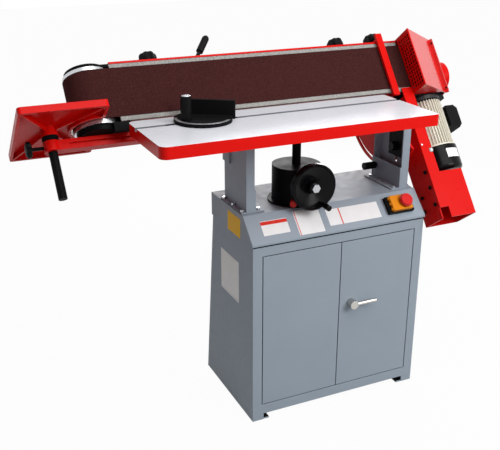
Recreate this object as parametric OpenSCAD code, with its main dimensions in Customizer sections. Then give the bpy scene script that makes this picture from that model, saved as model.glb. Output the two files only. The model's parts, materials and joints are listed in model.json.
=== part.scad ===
// Edge sander: an abrasive belt on two upright drums, carried by a tilting head over a steel cabinet.
// X runs right along the belt, Y runs to the back, Z runs up, and the floor is Z = 0.
// Parts of the head are drawn upright about the tilt axis, then tilted back by head_tilt.

/* [Cabinet] */
// Width of the cabinet
cab_w = 600; // [400:1:900]
// Front face, distance in front of the middle
cab_front = 190; // [120:1:300]
// Rear face at the floor, distance behind the middle
cab_rear = 187; // [120:1:300]
// Rear face at the top, distance behind the middle
cab_rear_top = 114; // [60:1:250]
// Height of the cabinet under the hood
cab_h = 600; // [400:1:800]
// Thickness of the cabinet sheet
sheet = 3; // [1:0.5:6]
// Width of each front foot
foot_w = 38; // [20:1:80]
// Height of the notch between the front feet
foot_notch_h = 21; // [5:1:50]
// Height of the shelf above the floor
shelf_z = 30; // [10:1:200]
// Side of a foot plate
foot_plate = 36; // [30:1:90]
// Thickness of a foot plate
foot_plate_t = 4; // [2:0.5:10]
// Radius of a floor bolt hole
floor_hole_r = 6; // [3:0.5:10]
// Floor bolt spacing along X
floor_span_x = 520; // [300:1:800]
// Floor bolt spacing along Y
floor_span_y = 310; // [200:1:500]

/* [Hood] */
// Overhang of the hood beyond the cabinet
hood_over = 3; // [1:0.5:10]
// Height of the hood top
hood_top = 675; // [500:1:900]
// Bottom edge of the bevel
bevel_low = 607; // [500:1:800]
// Top edge of the bevel, distance in front of the middle
bevel_top = 125; // [60:1:180]
// Width of the flange that rests on the cabinet
hood_flange = 24; // [10:1:50]

/* [Doors] */
// Half the width of the door opening
door_half = 269; // [150:1:400]
// Bottom of the door opening
door_low = 54; // [30:1:150]
// Top of the door opening
door_high = 566; // [300:1:700]
// Gap round a door
door_gap = 3; // [1:0.5:6]
// Thickness of the door sheet
door_sheet = 2; // [1:0.5:4]
// Depth of the folded door edge
door_return = 16; // [8:1:30]
// Depth of the folded edge of the opening
lip = 24; // [10:1:50]
// Radius of a hinge pin
pin_r = 2; // [1:0.25:5]
// Hinge pin, distance in from the door side
pin_in = 2.5; // [1:0.25:8]
// Hinge pin, distance behind the door face
pin_back = 3; // [1:0.25:8]
// Length of hinge pin outside the door
pin_out = 6.5; // [4:0.5:20]
// Length of hinge pin inside the door
pin_hold = 30; // [10:1:60]
// Handle position along X
handle_x = 42; // [20:1:150]
// Handle height
handle_z = 352; // [150:1:500]
// Length of the handle lever
lever_l = 80; // [50:1:150]
// Radius of the handle hub
lever_hub_r = 14; // [8:0.5:25]
// Length of the handle hub
lever_hub_l = 26; // [10:1:50]
// Radius of the handle spindle
lever_pin_r = 5; // [3:0.25:10]
// Radius of the lever grip
lever_grip_r = 6; // [3:0.25:12]
// Length of the latch tongue
tongue_l = 58; // [30:1:90]
// Width of the latch tongue
tongue_w = 16; // [8:1:30]
// Clearance behind the folded door edges
tongue_gap = 2; // [1:0.5:6]

/* [Columns] */
// Outer face of a column from the middle
col_out = 285; // [150:1:400]
// Width of a column flange
col_flange = 27; // [15:1:60]
// Front face of the columns, distance in front of the middle
col_front = 111; // [50:1:180]
// Rear face of the columns, distance behind the middle
col_rear = 50; // [20:1:150]
// Top of the columns
col_top = 900; // [800:1:1000]
// Thickness of the column steel
col_t = 4; // [2:0.5:8]
// Width of the outer foot of a column
col_foot = 14; // [8:1:40]
// Height of the inner foot plate
col_plate_h = 70; // [30:1:120]
// Reach of the inner foot plate along the hood
col_plate_w = 32; // [20:1:60]
// Slot for the table lock, position along Y
guide_slot_y = -44; // [-80:1:20]
// Bottom of the table lock slot
guide_slot_low = 752; // [700:1:850]
// Top of the table lock slot
guide_slot_high = 882; // [800:1:950]
// Radius of the table lock slot
guide_slot_r = 7; // [4:0.5:10]
// Radius of a frame bolt
bolt_r = 4; // [2:0.5:8]
// Length of a frame bolt
bolt_l = 16; // [8:1:40]
// Height of a bolt head
bolt_head_h = 5.5; // [3:0.5:10]
// Radius of a bolt head over the corners
bolt_head_r = 6.5; // [4:0.5:14]
// Clearance of a bolt in its hole
bolt_gap = 0.25; // [0.1:0.05:1]

/* [Tilt] */
// Tilt of the head back from upright
head_tilt = 37; // [0:1:90]
// Range of tilt from upright to flat
tilt_range = 90; // [45:1:90]
// Angle of quadrant plate beyond the ends of its slot
quad_margin = 11; // [5:1:15]
// Tilt axis along Y
pivot_y = 68; // [0:1:150]
// Tilt axis height
pivot_z = 914; // [800:1:1000]
// Radius of a pivot pin
pivot_r = 6; // [4:0.5:12]
// Radius of a pivot pin head
pivot_head_r = 11; // [8:0.5:20]
// Thickness of a pivot pin head
pivot_head_t = 6; // [3:0.5:12]
// Thickness of a pivot bracket
bracket_t = 6; // [3:0.5:12]
// Rounding of the bracket round the pivot
bracket_r = 16; // [10:0.5:20]
// Lowest edge of a pivot bracket
bracket_low = 690; // [680:1:860]
// Lowest edge of the left pivot bracket
bracket_low_left = 800; // [680:1:880]
// Rear edge of the bracket below the pivot
bracket_back = 50; // [30:1:56]
// Thickness of the quadrant plate
quad_t = 8; // [4:0.5:14]
// Outer radius of the quadrant
quad_r = 213; // [150:1:260]
// Middle radius of the quadrant slot
quad_slot_r = 200; // [140:1:250]
// Half the width of the quadrant slot
quad_slot_half = 6; // [4:0.5:10]
// Gap between plates that turn on each other
plate_gap = 1; // [0.3:0.1:3]
// Radius of the tilt lock bolt
lock_r = 5; // [3:0.25:5]
// Tilt lock position along Y
lock_y = 30; // [10:1:40]
// Length of the tilt lock grip
lock_bar_l = 40; // [20:1:120]
// Radius of the tilt lock grip
lock_bar_r = 12; // [5:0.5:15]
// Tilt lock grip, distance from the middle
lock_bar_x = 248; // [200:1:270]
// Thickness of the tilt lock nut
lock_nut_t = 9; // [5:0.5:15]
// Running clearance of a pin
run_gap = 0.06; // [0.01:0.01:0.1]

/* [Table] */
// Height of the table top
table_z = 962; // [850:1:1100]
// Left end of the table
table_left = -600; // [-800:1:-400]
// Right end of the table
table_right = 245; // [100:1:360]
// Front edge of the table
table_front = -294; // [-400:1:-200]
// Rear edge of the table
table_rear = -6; // [-60:1:-3]
// Height of the table edge
table_h = 34; // [20:1:60]
// Thickness of the table plate
table_plate = 12; // [6:0.5:20]
// Thickness of the table rim and ribs
table_rim = 10; // [5:0.5:20]
// Corner radius at the left end
table_corner_l = 22; // [5:1:60]
// Corner radius at the right end
table_corner_r = 6; // [2:1:60]
// Mitre slot position along Y
slot_y = -86; // [-200:1:-40]
// Mitre slot width
slot_w = 16; // [8:0.5:25]
// Mitre slot depth
slot_d = 9; // [5:0.5:15]
// Thickness of metal round the mitre slot
slot_wall = 8; // [4:0.5:15]
// Thickness of a table guide plate
guide_t = 6; // [3:0.5:10]
// Bottom of the table guide plates
guide_low = 768; // [700:1:785]
// Front edge of the table guide plates
guide_front = -100; // [-105:1:-60]
// Rear edge of the table guide plates
guide_rear = -10; // [-30:1:-8]
// Width of the foot of a guide plate
guide_foot = 30; // [10:1:60]
// Height of the table lock
guide_lock_z = 800; // [790:1:870]
// Radius of the table lock knob
guide_knob_r = 15; // [10:0.5:40]

/* [Lift] */
// Lift axis along X
lift_x = -89; // [-200:1:200]
// Lift axis along Y
lift_y = -50; // [-100:1:50]
// Outer radius of the lift housing
lift_r = 75; // [50:1:100]
// Height of the lift housing
lift_h = 114; // [80:1:180]
// Wall of the lift housing
lift_wall = 6; // [3:0.5:12]
// Radius of the lift housing foot
lift_foot_r = 88; // [70:1:120]
// Thickness of the lift housing foot
lift_foot_t = 5; // [3:0.5:10]
// Radius of the lift spindle
spindle_r = 13.5; // [8:0.5:25]
// Bottom of the lift spindle
spindle_low = 632; // [500:1:660]
// Height of the handwheel shaft
wheel_z = 746; // [700:1:800]
// Radius of the handwheel
wheel_r = 72; // [40:1:120]
// Front of the handwheel hub
wheel_front = -172; // [-220:1:-150]
// Depth of the handwheel hub
wheel_hub_l = 30; // [15:1:60]
// Radius of the handwheel hub
wheel_hub_r = 17; // [10:0.5:30]
// Depth of the handwheel rim
wheel_rim_l = 26; // [8:1:30]
// Width of the handwheel rim
wheel_rim_w = 9; // [5:0.5:20]
// Thickness of the handwheel dish
wheel_web = 5; // [3:0.5:10]
// Radius at which the crank grip stands
grip_at = 54; // [30:1:90]
// Angle of the crank grip
grip_angle = -68; // [-180:1:180]
// Radius of the crank grip
grip_r = 9; // [5:0.5:16]
// Length of the crank grip
grip_l = 50; // [25:1:90]
// Radius of the handwheel shaft
shaft_r = 8; // [5:0.5:12]
// Radius of the shaft nut
shaft_nut_r = 13.5; // [8:0.5:20]
// Length of the shaft nut
shaft_nut_l = 8; // [4:0.5:16]
// Outer radius of the bevel gears
gear_r = 32; // [20:1:50]
// Inner radius of the bevel gears
gear_small_r = 24; // [12:1:40]
// Thickness behind the bevel cone
gear_back = 8; // [4:0.5:20]
// Angle of the lift lock round the housing
lift_lock_angle = -122; // [-180:1:0]
// Height of the lift lock
lift_lock_z = 691; // [685:1:720]
// Radius of the lift lock knob
lift_lock_r = 10; // [6:0.5:16]
// Length of the lift lock knob
lift_lock_l = 24; // [10:1:40]

/* [Mitre gauge] */
// Gauge pivot along X
gauge_x = -405; // [-520:1:100]
// Angle of the gauge fence from the belt
gauge_angle = -32.7; // [-150:0.1:0]
// Left end of the gauge bar from the pivot
bar_left = -107; // [-200:1:-60]
// Right end of the gauge bar from the pivot
bar_right = 105; // [60:1:200]
// Clearance of the gauge bar in the slot
bar_gap = 0.4; // [0.2:0.1:1]
// Radius of the gauge base
gauge_r = 82; // [50:1:84]
// Thickness of the gauge base
gauge_t = 10; // [8:0.5:30]
// Front of the fence from the pivot
fence_at = 36; // [20:1:60]
// Thickness of the fence
fence_t = 10; // [5:0.5:20]
// Left end of the fence from the pivot
fence_left = -72; // [-120:1:-40]
// Right end of the fence from the pivot
fence_right = 84; // [40:1:140]
// Height of the fence
fence_h = 52; // [20:1:80]
// Gauge handle along the fence
gauge_handle_x = -40; // [-60:1:60]
// Gauge handle in front of the pivot
gauge_handle_y = -33; // [-60:1:0]
// Radius of the gauge handle
gauge_handle_r = 14; // [8:0.5:25]
// Length of the gauge handle
gauge_handle_l = 66; // [30:1:100]

/* [Belt] */
// Axis of the idler drum along X
idler_x = -665; // [-900:1:-400]
// Axis of the drive drum along X
drive_x = 440; // [200:1:600]
// Radius of the belt's outer face round the drums
belt_r = 68; // [50:0.5:90]
// Thickness of the belt
belt_t = 1.5; // [0.8:0.1:3]
// Lower edge of the belt above the tilt axis
belt_low = 21; // [5:1:60]
// Width of the belt
belt_w = 150; // [80:1:250]
// Gap between the belt and what it runs on
belt_gap = 0.3; // [0.1:0.05:1]
// Lower end of the drums
drum_low = 8; // [0:0.5:15]
// Length of the drums
drum_l = 174; // [100:1:260]
// Wall of the drums
drum_wall = 8; // [4:0.5:15]
// Thickness of the drum ends
drum_end = 14; // [8:0.5:25]
// Left end of the platen
platen_left = -608; // [-640:1:-400]
// Right end of the platen
platen_right = 366; // [200:1:370]
// Thickness of the platen
platen_t = 8; // [4:0.5:15]
// Top of the platen
platen_top = 186; // [120:1:260]

/* [Head] */
// Left end of the head beam
beam_left = -570; // [-580:1:-400]
// Right end of the head beam
beam_right = 350; // [200:1:360]
// Rear face of the head beam behind the tilt axis
beam_back = 50; // [20:1:60]
// Underside of the head beam above the tilt axis
beam_low = 22; // [18:1:40]
// Thickness of the beam steel
beam_t = 5; // [3:0.5:10]
// Width of the foot that holds the quadrant
quad_foot = 36; // [15:1:60]
// Thickness of the belt cover sheet
cover_t = 3; // [1:0.5:5]
// Back of the belt cover behind the tilt axis
cover_back = 74; // [70:1:100]
// Lower edge of the belt cover
cover_low = 2; // [1:1:40]
// Left end of the back of the belt cover
cover_left = -640; // [-650:1:-608]
// Right end of the belt cover notch
cover_notch = -566; // [-570:1:-500]
// Half the width of the belt cover notch
cover_notch_half = 54; // [50:1:60]
// Radius of a cover knob
knob_r = 28; // [12:0.5:40]
// Height of a knob
knob_h = 34; // [10:0.5:40]
// Radius of a knob's stud
knob_stud_r = 5; // [3:0.25:8]
// Length of a knob's stud below the knob
knob_stud_l = 16; // [8:0.5:30]
// Number of grips round a knob
knob_lobes = 7; // [3:1:12]
// Left cover knob along X
cover_knob_left_x = -480; // [-540:1:-420]
// Right cover knob along X
cover_knob_right_x = 158; // [0:1:240]
// Cover knobs, position behind the tilt axis
cover_knob_b = -38; // [-45:1:30]

/* [Drive end] */
// Thickness of the drive bracket
drive_t = 12; // [6:0.5:20]
// Right end of the drive bracket
drive_right = 520; // [480:1:560]
// Front of the drive bracket before the tilt axis
drive_front = 60; // [50:1:65]
// Rear of the drive bracket behind the tilt axis
drive_back = 66; // [50:1:80]
// Top of the upright drive plate
drive_top = 170; // [100:1:175]
// Half the width of the upright drive plate
drive_half = 50; // [30:1:55]
// Radius of the shaft hole in the drive bracket
drive_hole_r = 30; // [15:1:45]
// Left face of the guard
guard_x = 371; // [365:1:400]
// Front corner of the guard before the tilt axis
guard_front = 143; // [100:1:200]
// Rear edge of the left guard face
guard_back = 71; // [69:0.5:90]
// Lower edge of the guard
guard_low = -7; // [-12:1:10]
// Top of the guard
guard_top = 192; // [186:1:220]
// Length of the slanted guard face
guard_run = 175; // [120:1:240]
// Angle of the slanted guard face from the belt
guard_angle = 32.7; // [10:0.1:60]
// Thickness of the guard sheet
guard_t = 3; // [1:0.5:5]
// Radius of the guard holes
guard_hole_r = 4.5; // [2:0.1:5]
// Pitch of the guard holes
guard_pitch = 12.5; // [8:0.1:20]
// Columns of guard holes
guard_cols = 5; // [2:1:8]
// Rows of guard holes
guard_rows = 14; // [4:1:24]
// Width of the guard flange
guard_flange = 10; // [5:0.5:20]
// Outer radius of the drum cover
shell_r = 92; // [75:1:110]
// Height of the dust port middle
port_w = 76; // [40:1:120]
// Dust port middle behind the tilt axis
port_b = 5; // [-20:1:30]
// Outer radius of the dust port
port_r = 50; // [30:1:60]
// End of the dust port
port_end = 560; // [540:1:640]
// Left face of the chute
chute_left = 330; // [320:1:350]
// Right face of the wide part of the chute
chute_right = 456; // [400:1:500]
// Right face of the narrow part of the chute
chute_neck = 370; // [350:1:371]
// Front face of the chute before the tilt axis
chute_front = 74; // [70:1:90]
// Rear face of the chute behind the tilt axis
chute_back = 30; // [0:1:60]
// Top of the chute front
chute_top = 16; // [0:1:19]
// Bottom of the narrow part of the chute
chute_step = -281; // [-320:1:-276]
// Bottom of the chute
chute_low = -434; // [-500:1:-350]
// Thickness of the chute sheet
chute_t = 4; // [2:0.5:6]
// Width of the cut at the lower corner of the chute
chute_cut_w = 32; // [10:1:60]
// Height of the cut at the lower corner of the chute
chute_cut_h = 36; // [10:1:60]
// Radius of a chute screw head
cap_r = 6; // [3:0.25:10]
// Height of a chute screw head
cap_h = 5; // [2:0.25:10]

/* [Motor] */
// Radius over the motor fins
motor_r = 64; // [50:1:66]
// Radius of the motor shell between fins
motor_core_r = 57; // [40:1:60]
// Bore of the motor shell
motor_bore_r = 50; // [35:1:55]
// Thickness of the motor end shields
motor_end = 12; // [6:0.5:20]
// Bottom of the motor shell
motor_low = -196; // [-240:1:-140]
// Number of motor fins
motor_fins = 40; // [16:1:60]
// Thickness of a motor fin
motor_fin_t = 3; // [1.5:0.25:5]
// Radius of the motor shaft
motor_shaft_r = 12; // [8:0.5:18]
// Radius of the rotor
rotor_r = 31; // [20:1:40]
// Gap between the rotor and the stator
rotor_gap = 1; // [0.5:0.1:3]
// Outer radius of the fan cover
fan_cover_r = 67; // [60:1:68]
// Bottom of the fan cover
fan_cover_low = -272; // [-300:1:-240]
// Rounding of the fan cover
fan_round = 14; // [4:1:25]
// Radius of the fan
fan_r = 54; // [30:1:60]
// Length of the fan
fan_l = 30; // [15:1:50]
// Number of fan blades
fan_blades = 8; // [4:1:14]
// Right face of the terminal box
box_right = 548; // [520:1:580]
// Half the width of the terminal box
box_half = 38; // [20:1:55]
// Top of the terminal box
box_top = -48; // [-60:1:-26]
// Bottom of the terminal box
box_low = -130; // [-170:1:-80]
// Chamfer of the terminal box
box_chamfer = 12; // [4:1:20]

/* [Idler] */
// Left side of the yoke web
yoke_web = -596; // [-598:0.5:-590]
// Thickness of the yoke web
yoke_t = 12; // [6:0.5:16]
// Half the width of the yoke web
yoke_half = 48; // [30:1:52]
// Radius of the yoke arm ends
yoke_r = 60; // [40:1:64]
// Top of the lower yoke arm
yoke_low = 6; // [0:0.5:7]
// Thickness of the lower yoke arm
yoke_low_t = 14; // [8:0.5:20]
// Underside of the upper yoke arm
yoke_high = 184; // [183:0.5:190]
// Thickness of the upper yoke arm
yoke_high_t = 10; // [6:0.5:20]
// Half the width of the yoke slide
slide_half = 20; // [10:1:30]
// Right end of the yoke slide
slide_right = -380; // [-500:1:-360]
// Bottom of the yoke slide
slide_low = 80; // [60:1:110]
// Top of the yoke slide
slide_high = 120; // [100:1:150]
// Clearance of the yoke slide
slide_gap = 0.3; // [0.1:0.05:1]
// Thickness of the slide guides
slide_guide = 20; // [8:1:30]
// Left end of the cheek by the drum
cheek_left = -632; // [-636:1:-600]
// Lower end of the cheek
cheek_low = -19; // [-25:1:0]
// Upper end of the cheek
cheek_high = 6; // [0:0.5:7]
// Radius of the idler axle
axle_r = 10; // [6:0.5:16]
// Outer radius of an idler bearing
bearing_r = 21; // [14:0.5:30]
// Height of an idler bearing
bearing_h = 12; // [6:0.5:20]
// Tension lever pivot along X
tension_x = -361; // [-450:1:-300]
// Tension lever pivot height
tension_w = 150; // [130:1:165]
// Tension lever, position behind the tilt axis
tension_b = -34; // [-45:1:30]
// Lean of the tension lever
tension_lean = 36; // [10:1:60]
// Length of the tension lever
tension_l = 146; // [80:1:200]
// Radius of the tension lever rod
tension_r = 6; // [3:0.25:10]
// Radius of the tension lever grip
tension_grip_r = 11; // [6:0.5:18]
// Length of the tension lever grip
tension_grip_l = 62; // [20:1:70]
// Radius of the tension cam
tension_cam_r = 16; // [8:0.5:24]
// Thickness of the tension cam
tension_cam_t = 14; // [6:0.5:20]
// Half the width of the lever slot
tension_slot_half = 8; // [7:0.5:14]
// Left end of the lever slot
tension_slot_left = -400; // [-460:1:-360]
// Right end of the lever slot
tension_slot_right = -295; // [-320:1:-250]

/* [End table] */
// Left end of the end table
end_left = -897; // [-1100:1:-800]
// Right end of the end table
end_right = -655; // [-700:1:-640]
// Front edge of the end table before the tilt axis
end_front = 155; // [100:1:220]
// Rear edge of the end table behind the tilt axis
end_back = 180; // [100:1:240]
// Top of the end table above the tilt axis
end_top = 38; // [26:1:80]
// Height of the end table rim
end_rim_h = 20; // [10:1:20]
// Thickness of the end table plate and rim
end_t = 8; // [4:0.5:14]
// Corner radius of the end table
end_corner = 10; // [3:1:30]
// Clearance of the end table round the belt
end_gap = 6; // [3:0.5:15]
// Thickness of an end table rib
end_rib = 6; // [3:0.5:12]
// Post axis along X
post_x = -802; // [-840:1:-770]
// Post axis behind the tilt axis
post_b = -8; // [-20:1:20]
// Radius of the post
post_r = 12.5; // [8:0.5:20]
// Bottom of the post
post_low = -178; // [-300:1:-100]
// Radius of the post boss and collar
post_boss_r = 23; // [16:0.5:40]
// Bottom of the post boss
post_boss_low = 5; // [0:0.5:10]
// Bottom of the post collar
post_collar_low = -8; // [-9:0.5:0]
// Right end of the arm
arm_right = -538; // [-560:1:-450]
// Width of the arm
arm_w = 30; // [16:1:50]
// Top of the arm
arm_top = -10; // [-30:0.5:-9]
// Height of the arm
arm_h = 30; // [16:1:50]
// Width of the block that joins the arm to the beam
arm_block = 28; // [16:1:31]
// Groove along the arm
arm_groove = 7; // [3:0.5:12]
// Radius of the end clamp knob
end_knob_r = 24; // [12:0.5:35]
// Length of the end clamp knob
end_knob_h = 18; // [10:0.5:30]
// Length of the end clamp stem
end_stem_l = 32; // [15:0.5:50]

/* [Work stop] */
// Left side of the work stop
stop_left = 289; // [260:1:320]
// Width of the work stop
stop_w = 23; // [10:1:40]
// Thickness of the work stop
stop_t = 10; // [4:0.5:20]
// Gap between the work stop and the belt
stop_gap = 4; // [3:0.5:12]
// Lower end of the work stop
stop_low = -8; // [-12:1:20]
// Height of the work stop above its arm
stop_rise = 16; // [1:1:30]
// Thickness of the work stop arm
stop_arm_t = 6; // [3:0.5:12]
// Rear end of the work stop arm behind the tilt axis
stop_arm_back = -8; // [-12:1:20]
// Work stop knob before the tilt axis
stop_knob_b = -36; // [-40:1:-30]
// Half the length of the work stop slot
stop_slot_half = 16; // [8:1:18]

/* [Switch] */
// Middle of the switch along X
switch_x = 218; // [100:1:260]
// Width of the switch
switch_w = 90; // [60:1:120]
// Height of the switch along the bevel
switch_h = 56; // [40:1:80]
// Depth of the switch base
switch_d = 14; // [8:0.5:30]
// Depth of the switch below the bevel
switch_deep = 40; // [20:1:60]
// Wall of the switch base
switch_wall = 4; // [2:0.5:8]
// Height of the flap
flap_d = 12; // [6:0.5:24]
// Thickness of the flap walls
flap_t = 3; // [1.5:0.25:6]
// Width of the flap
flap_w = 70; // [40:1:90]
// Radius of the flap hinge knuckles
flap_pin_r = 5; // [3:0.5:8]
// Radius of the red mushroom
mushroom_r = 22; // [12:0.5:30]
// Height of the red mushroom
mushroom_h = 12; // [6:0.5:20]
// Radius of the mushroom stem
mushroom_stem_r = 9; // [5:0.5:15]
// Half the width of a button
button_half = 10; // [6:0.5:16]
// Height of a button above the base
button_h = 4; // [2:0.5:8]
// Spacing of the buttons
button_span = 28; // [24:1:40]
// Clearance of a button in its hole
button_gap = 0.4; // [0.2:0.1:1]

/* [Hidden] */
// Overrun that takes a cut clear through a face
cut = 2;
// Overlap that joins two solids of one piece
join = 1;
$fn = 64;
grey = [0.60, 0.65, 0.70];
dark = [0.10, 0.10, 0.11];
red = [0.85, 0.08, 0.06];
steel = [0.75, 0.76, 0.78];
cab_half = cab_w / 2;
in_half = cab_half - sheet;
hood_half = cab_half + hood_over;
hood_front = cab_front + hood_over;
hood_rear = cab_rear_top + hood_over;
bevel_angle = atan2(hood_top - bevel_low, hood_front - bevel_top);
bevel_mid_y = -(hood_front + bevel_top) / 2;
bevel_mid_z = (hood_top + bevel_low) / 2;
door_side = door_half - door_gap;
door_edge = door_gap / 2;
pin_x = door_side - pin_in;
pin_y = -cab_front + pin_back;
tongue_y = -cab_front + door_return + tongue_gap;
col_in = col_out - col_flange;
foot_bolt_x = col_in - col_plate_w + col_foot;
foot_bolt_ys = [-col_front + col_foot, (col_rear - col_front) / 2, col_rear - col_foot];
quad_in = col_out + bracket_t + plate_gap;
quad_out = quad_in + quad_t;
lock_z = pivot_z - sqrt(quad_slot_r * quad_slot_r - (pivot_y - lock_y) * (pivot_y - lock_y));
lock_polar = atan2(lock_z - pivot_z, lock_y - pivot_y);
table_low = table_z - table_h;
table_pocket = table_z - table_plate;
stud_r = guide_slot_r - plate_gap;
guide_in = col_out - col_t - bolt_gap - guide_t;
gear_cone = gear_r - gear_small_r;
gear_z = wheel_z - gear_r - belt_gap - gear_back;
gear_y = lift_y - gear_r - belt_gap - gear_back;
belt_in = belt_r - belt_t;
drum_r = belt_in - belt_gap;
drum_high = drum_low + drum_l;
platen_front = -belt_in + belt_gap;
platen_back = platen_front + platen_t;
cover_base = platen_top + bolt_gap * 2;
knob_seat = cover_base + cover_t;
stop_arm_low = knob_seat + belt_gap;
cover_knob_xs = [cover_knob_left_x, cover_knob_right_x];
motor_high = -drive_t;
motor_bore_h = motor_high - motor_low - 2 * motor_end;
guard_end_x = guard_x + guard_run * cos(guard_angle);
guard_end_b = -guard_front + guard_run * sin(guard_angle);
guard_floor_b = -drive_front - cut;
guard_floor_x = guard_x + (guard_front + guard_floor_b) / tan(guard_angle);
drive_cut_x = drive_x + drive_half / 2;
drive_cut_b = -drive_front + (drive_right - drive_cut_x) * tan(guard_angle);
stop_front = -belt_r - stop_gap - stop_t;
stop_mid = stop_left + stop_w / 2;
stop_slot_r = knob_stud_r + plate_gap;
post_top = end_top - end_t - bolt_gap;
arm_end = post_x - post_boss_r;
switch_hinge = -flap_w / 2;
stop_x = button_span / 2;
button_hole = 2 * (button_half + button_gap);
bevel_drop = sheet / cos(bevel_angle);
shell_x = guard_x + plate_gap;
shell_b = guard_end_b + guard_t;
// Places of the chute screws, as shares of the depth and height of the chute side
chute_screw_shares = [[0.16, 0.37], [0.16, 0.25], [0.17, 0.12], [0.70, 0.21], [0.79, 0.11]];
// Places of the guard screws, as shares of the guard's height
guard_screw_shares = [0.08, 0.92];

// Box between two corners
module block(low, high) {
    translate(low) cube(high - low);
}

// Rod along X, Y or Z between two stations
module rod_x(r, x0, x1, y, z) {
    translate([x0, y, z]) rotate([0, 90, 0]) cylinder(r = r, h = x1 - x0);
}

module rod_y(r, y0, y1, x, z) {
    translate([x, y0, z]) rotate([-90, 0, 0]) cylinder(r = r, h = y1 - y0);
}

module rod_z(r, z0, z1, x, y) {
    translate([x, y, z0]) cylinder(r = r, h = z1 - z0);
}

// Everything on the head is drawn upright about the tilt axis, then tilted
module on_head() {
    translate([0, pivot_y, pivot_z]) rotate([-head_tilt, 0, 0]) children();
}

// Frame of the sloping front of the hood, with Z standing out of it
module on_bevel() {
    translate([switch_x, bevel_mid_y, bevel_mid_z]) rotate([bevel_angle, 0, 0]) children();
}

// Both sides of the machine
module both_sides() {
    children();
    mirror([1, 0, 0]) children();
}

// Side profile stood up along X
module along_x(half) {
    translate([-half, 0, 0]) rotate([90, 0, 90]) linear_extrude(2 * half) children();
}

// Rectangle with one corner radius on the left and one on the right
module rounded(x0, x1, y0, y1, rl, rr) {
    translate([x0 + rl, y0]) square([x1 - rr - x0 - rl, y1 - y0]);
    translate([x0, y0 + rl]) square([rl + join, y1 - y0 - 2 * rl]);
    translate([x1 - rr - join, y0 + rr]) square([rr + join, y1 - y0 - 2 * rr]);
    for (y = [y0 + rl, y1 - rl]) translate([x0 + rl, y]) circle(rl);
    for (y = [y0 + rr, y1 - rr]) translate([x1 - rr, y]) circle(rr);
}

// Star knob standing on Z = 0 with its stud below
module star_knob(r, h, stud_r, stud_l) {
    linear_extrude(h) {
        circle(r - r / 5);
        for (i = [0 : knob_lobes - 1]) rotate(i * 360 / knob_lobes) translate([r - r / 4, 0]) circle(r / 4);
    }
    translate([0, 0, -stud_l]) cylinder(r = stud_r, h = stud_l + join);
}

// Places of the bolts that hold the columns down, outer row and inner row
module column_bolts() {
    both_sides() for (y = foot_bolt_ys) {
        translate([col_out + col_foot / 2, y, hood_top + col_t]) children();
        translate([foot_bolt_x, y, hood_top + col_t]) children();
    }
}

// Lower cabinet: a sheet shell with feet, a shelf and the folded edge of the door opening
module cabinet() color(grey) {
    difference() {
        union() {
            difference() {
                along_x(cab_half) polygon([[-cab_front, 0], [cab_rear, 0], [cab_rear_top, cab_h],
                    [-cab_front, cab_h]]);
                along_x(in_half) polygon([[-cab_front + sheet, -cut], [cab_rear - sheet, -cut],
                    [cab_rear_top - sheet, cab_h + cut], [-cab_front + sheet, cab_h + cut]]);
                block([-door_half, -cab_front - cut, door_low], [door_half, -cab_front + lip, door_high]);
                block([-cab_half + foot_w, -cab_front - cut, -cut],
                    [cab_half - foot_w, -cab_front + lip, foot_notch_h]);
            }
            block([-in_half - join, -cab_front + join, shelf_z],
                [in_half + join, cab_rear_top, shelf_z + sheet]);
            difference() {
                block([-door_half - sheet, -cab_front, door_low - sheet],
                    [door_half + sheet, -cab_front + lip, door_high + sheet]);
                block([-door_half, -cab_front - cut, door_low],
                    [door_half, -cab_front + lip + cut, door_high]);
            }
            both_sides() {
                block([floor_span_x / 2 - foot_plate / 2, -cab_front + join, 0],
                    [in_half + join, -floor_span_y / 2 + foot_plate / 2, foot_plate_t]);
                block([floor_span_x / 2 - foot_plate / 2, floor_span_y / 2 - foot_plate / 2, 0],
                    [in_half + join, cab_rear - sheet, foot_plate_t]);
            }
        }
        both_sides() {
            for (y = [-floor_span_y / 2, floor_span_y / 2])
                rod_z(floor_hole_r, -cut, foot_plate_t + cut, floor_span_x / 2, y);
            rod_z(pin_r + bolt_gap, door_low - sheet - cut, door_high + sheet + cut, pin_x, pin_y);
        }
    }
}

// Hood: bevelled cap on the cabinet, hollow, with a flange round its open bottom
module hood() color(grey) {
    difference() {
        along_x(hood_half) polygon([[-hood_front, cab_h], [hood_rear, cab_h], [hood_rear, hood_top],
            [-bevel_top, hood_top], [-hood_front, bevel_low]]);
        along_x(hood_half - sheet) polygon([[-hood_front + sheet, cab_h + sheet],
            [hood_rear - sheet, cab_h + sheet], [hood_rear - sheet, hood_top - sheet],
            [-bevel_top + (bevel_drop - sheet) / tan(bevel_angle), hood_top - sheet],
            [-hood_front + sheet, bevel_low - bevel_drop + sheet * tan(bevel_angle)]]);
        block([-hood_half + hood_flange, -hood_front + hood_flange, cab_h - cut],
            [hood_half - hood_flange, hood_rear - hood_flange, cab_h + sheet + cut]);
        rod_z(spindle_r + lift_wall, hood_top - sheet - cut, hood_top + cut, lift_x, lift_y);
        column_bolts() cylinder(r = bolt_r + bolt_gap, h = 4 * bolt_l, center = true);
        on_bevel() {
            cube([switch_w - 2 * switch_wall, switch_h - 2 * switch_wall, 2 * switch_deep], center = true);
        }
    }
}

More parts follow.
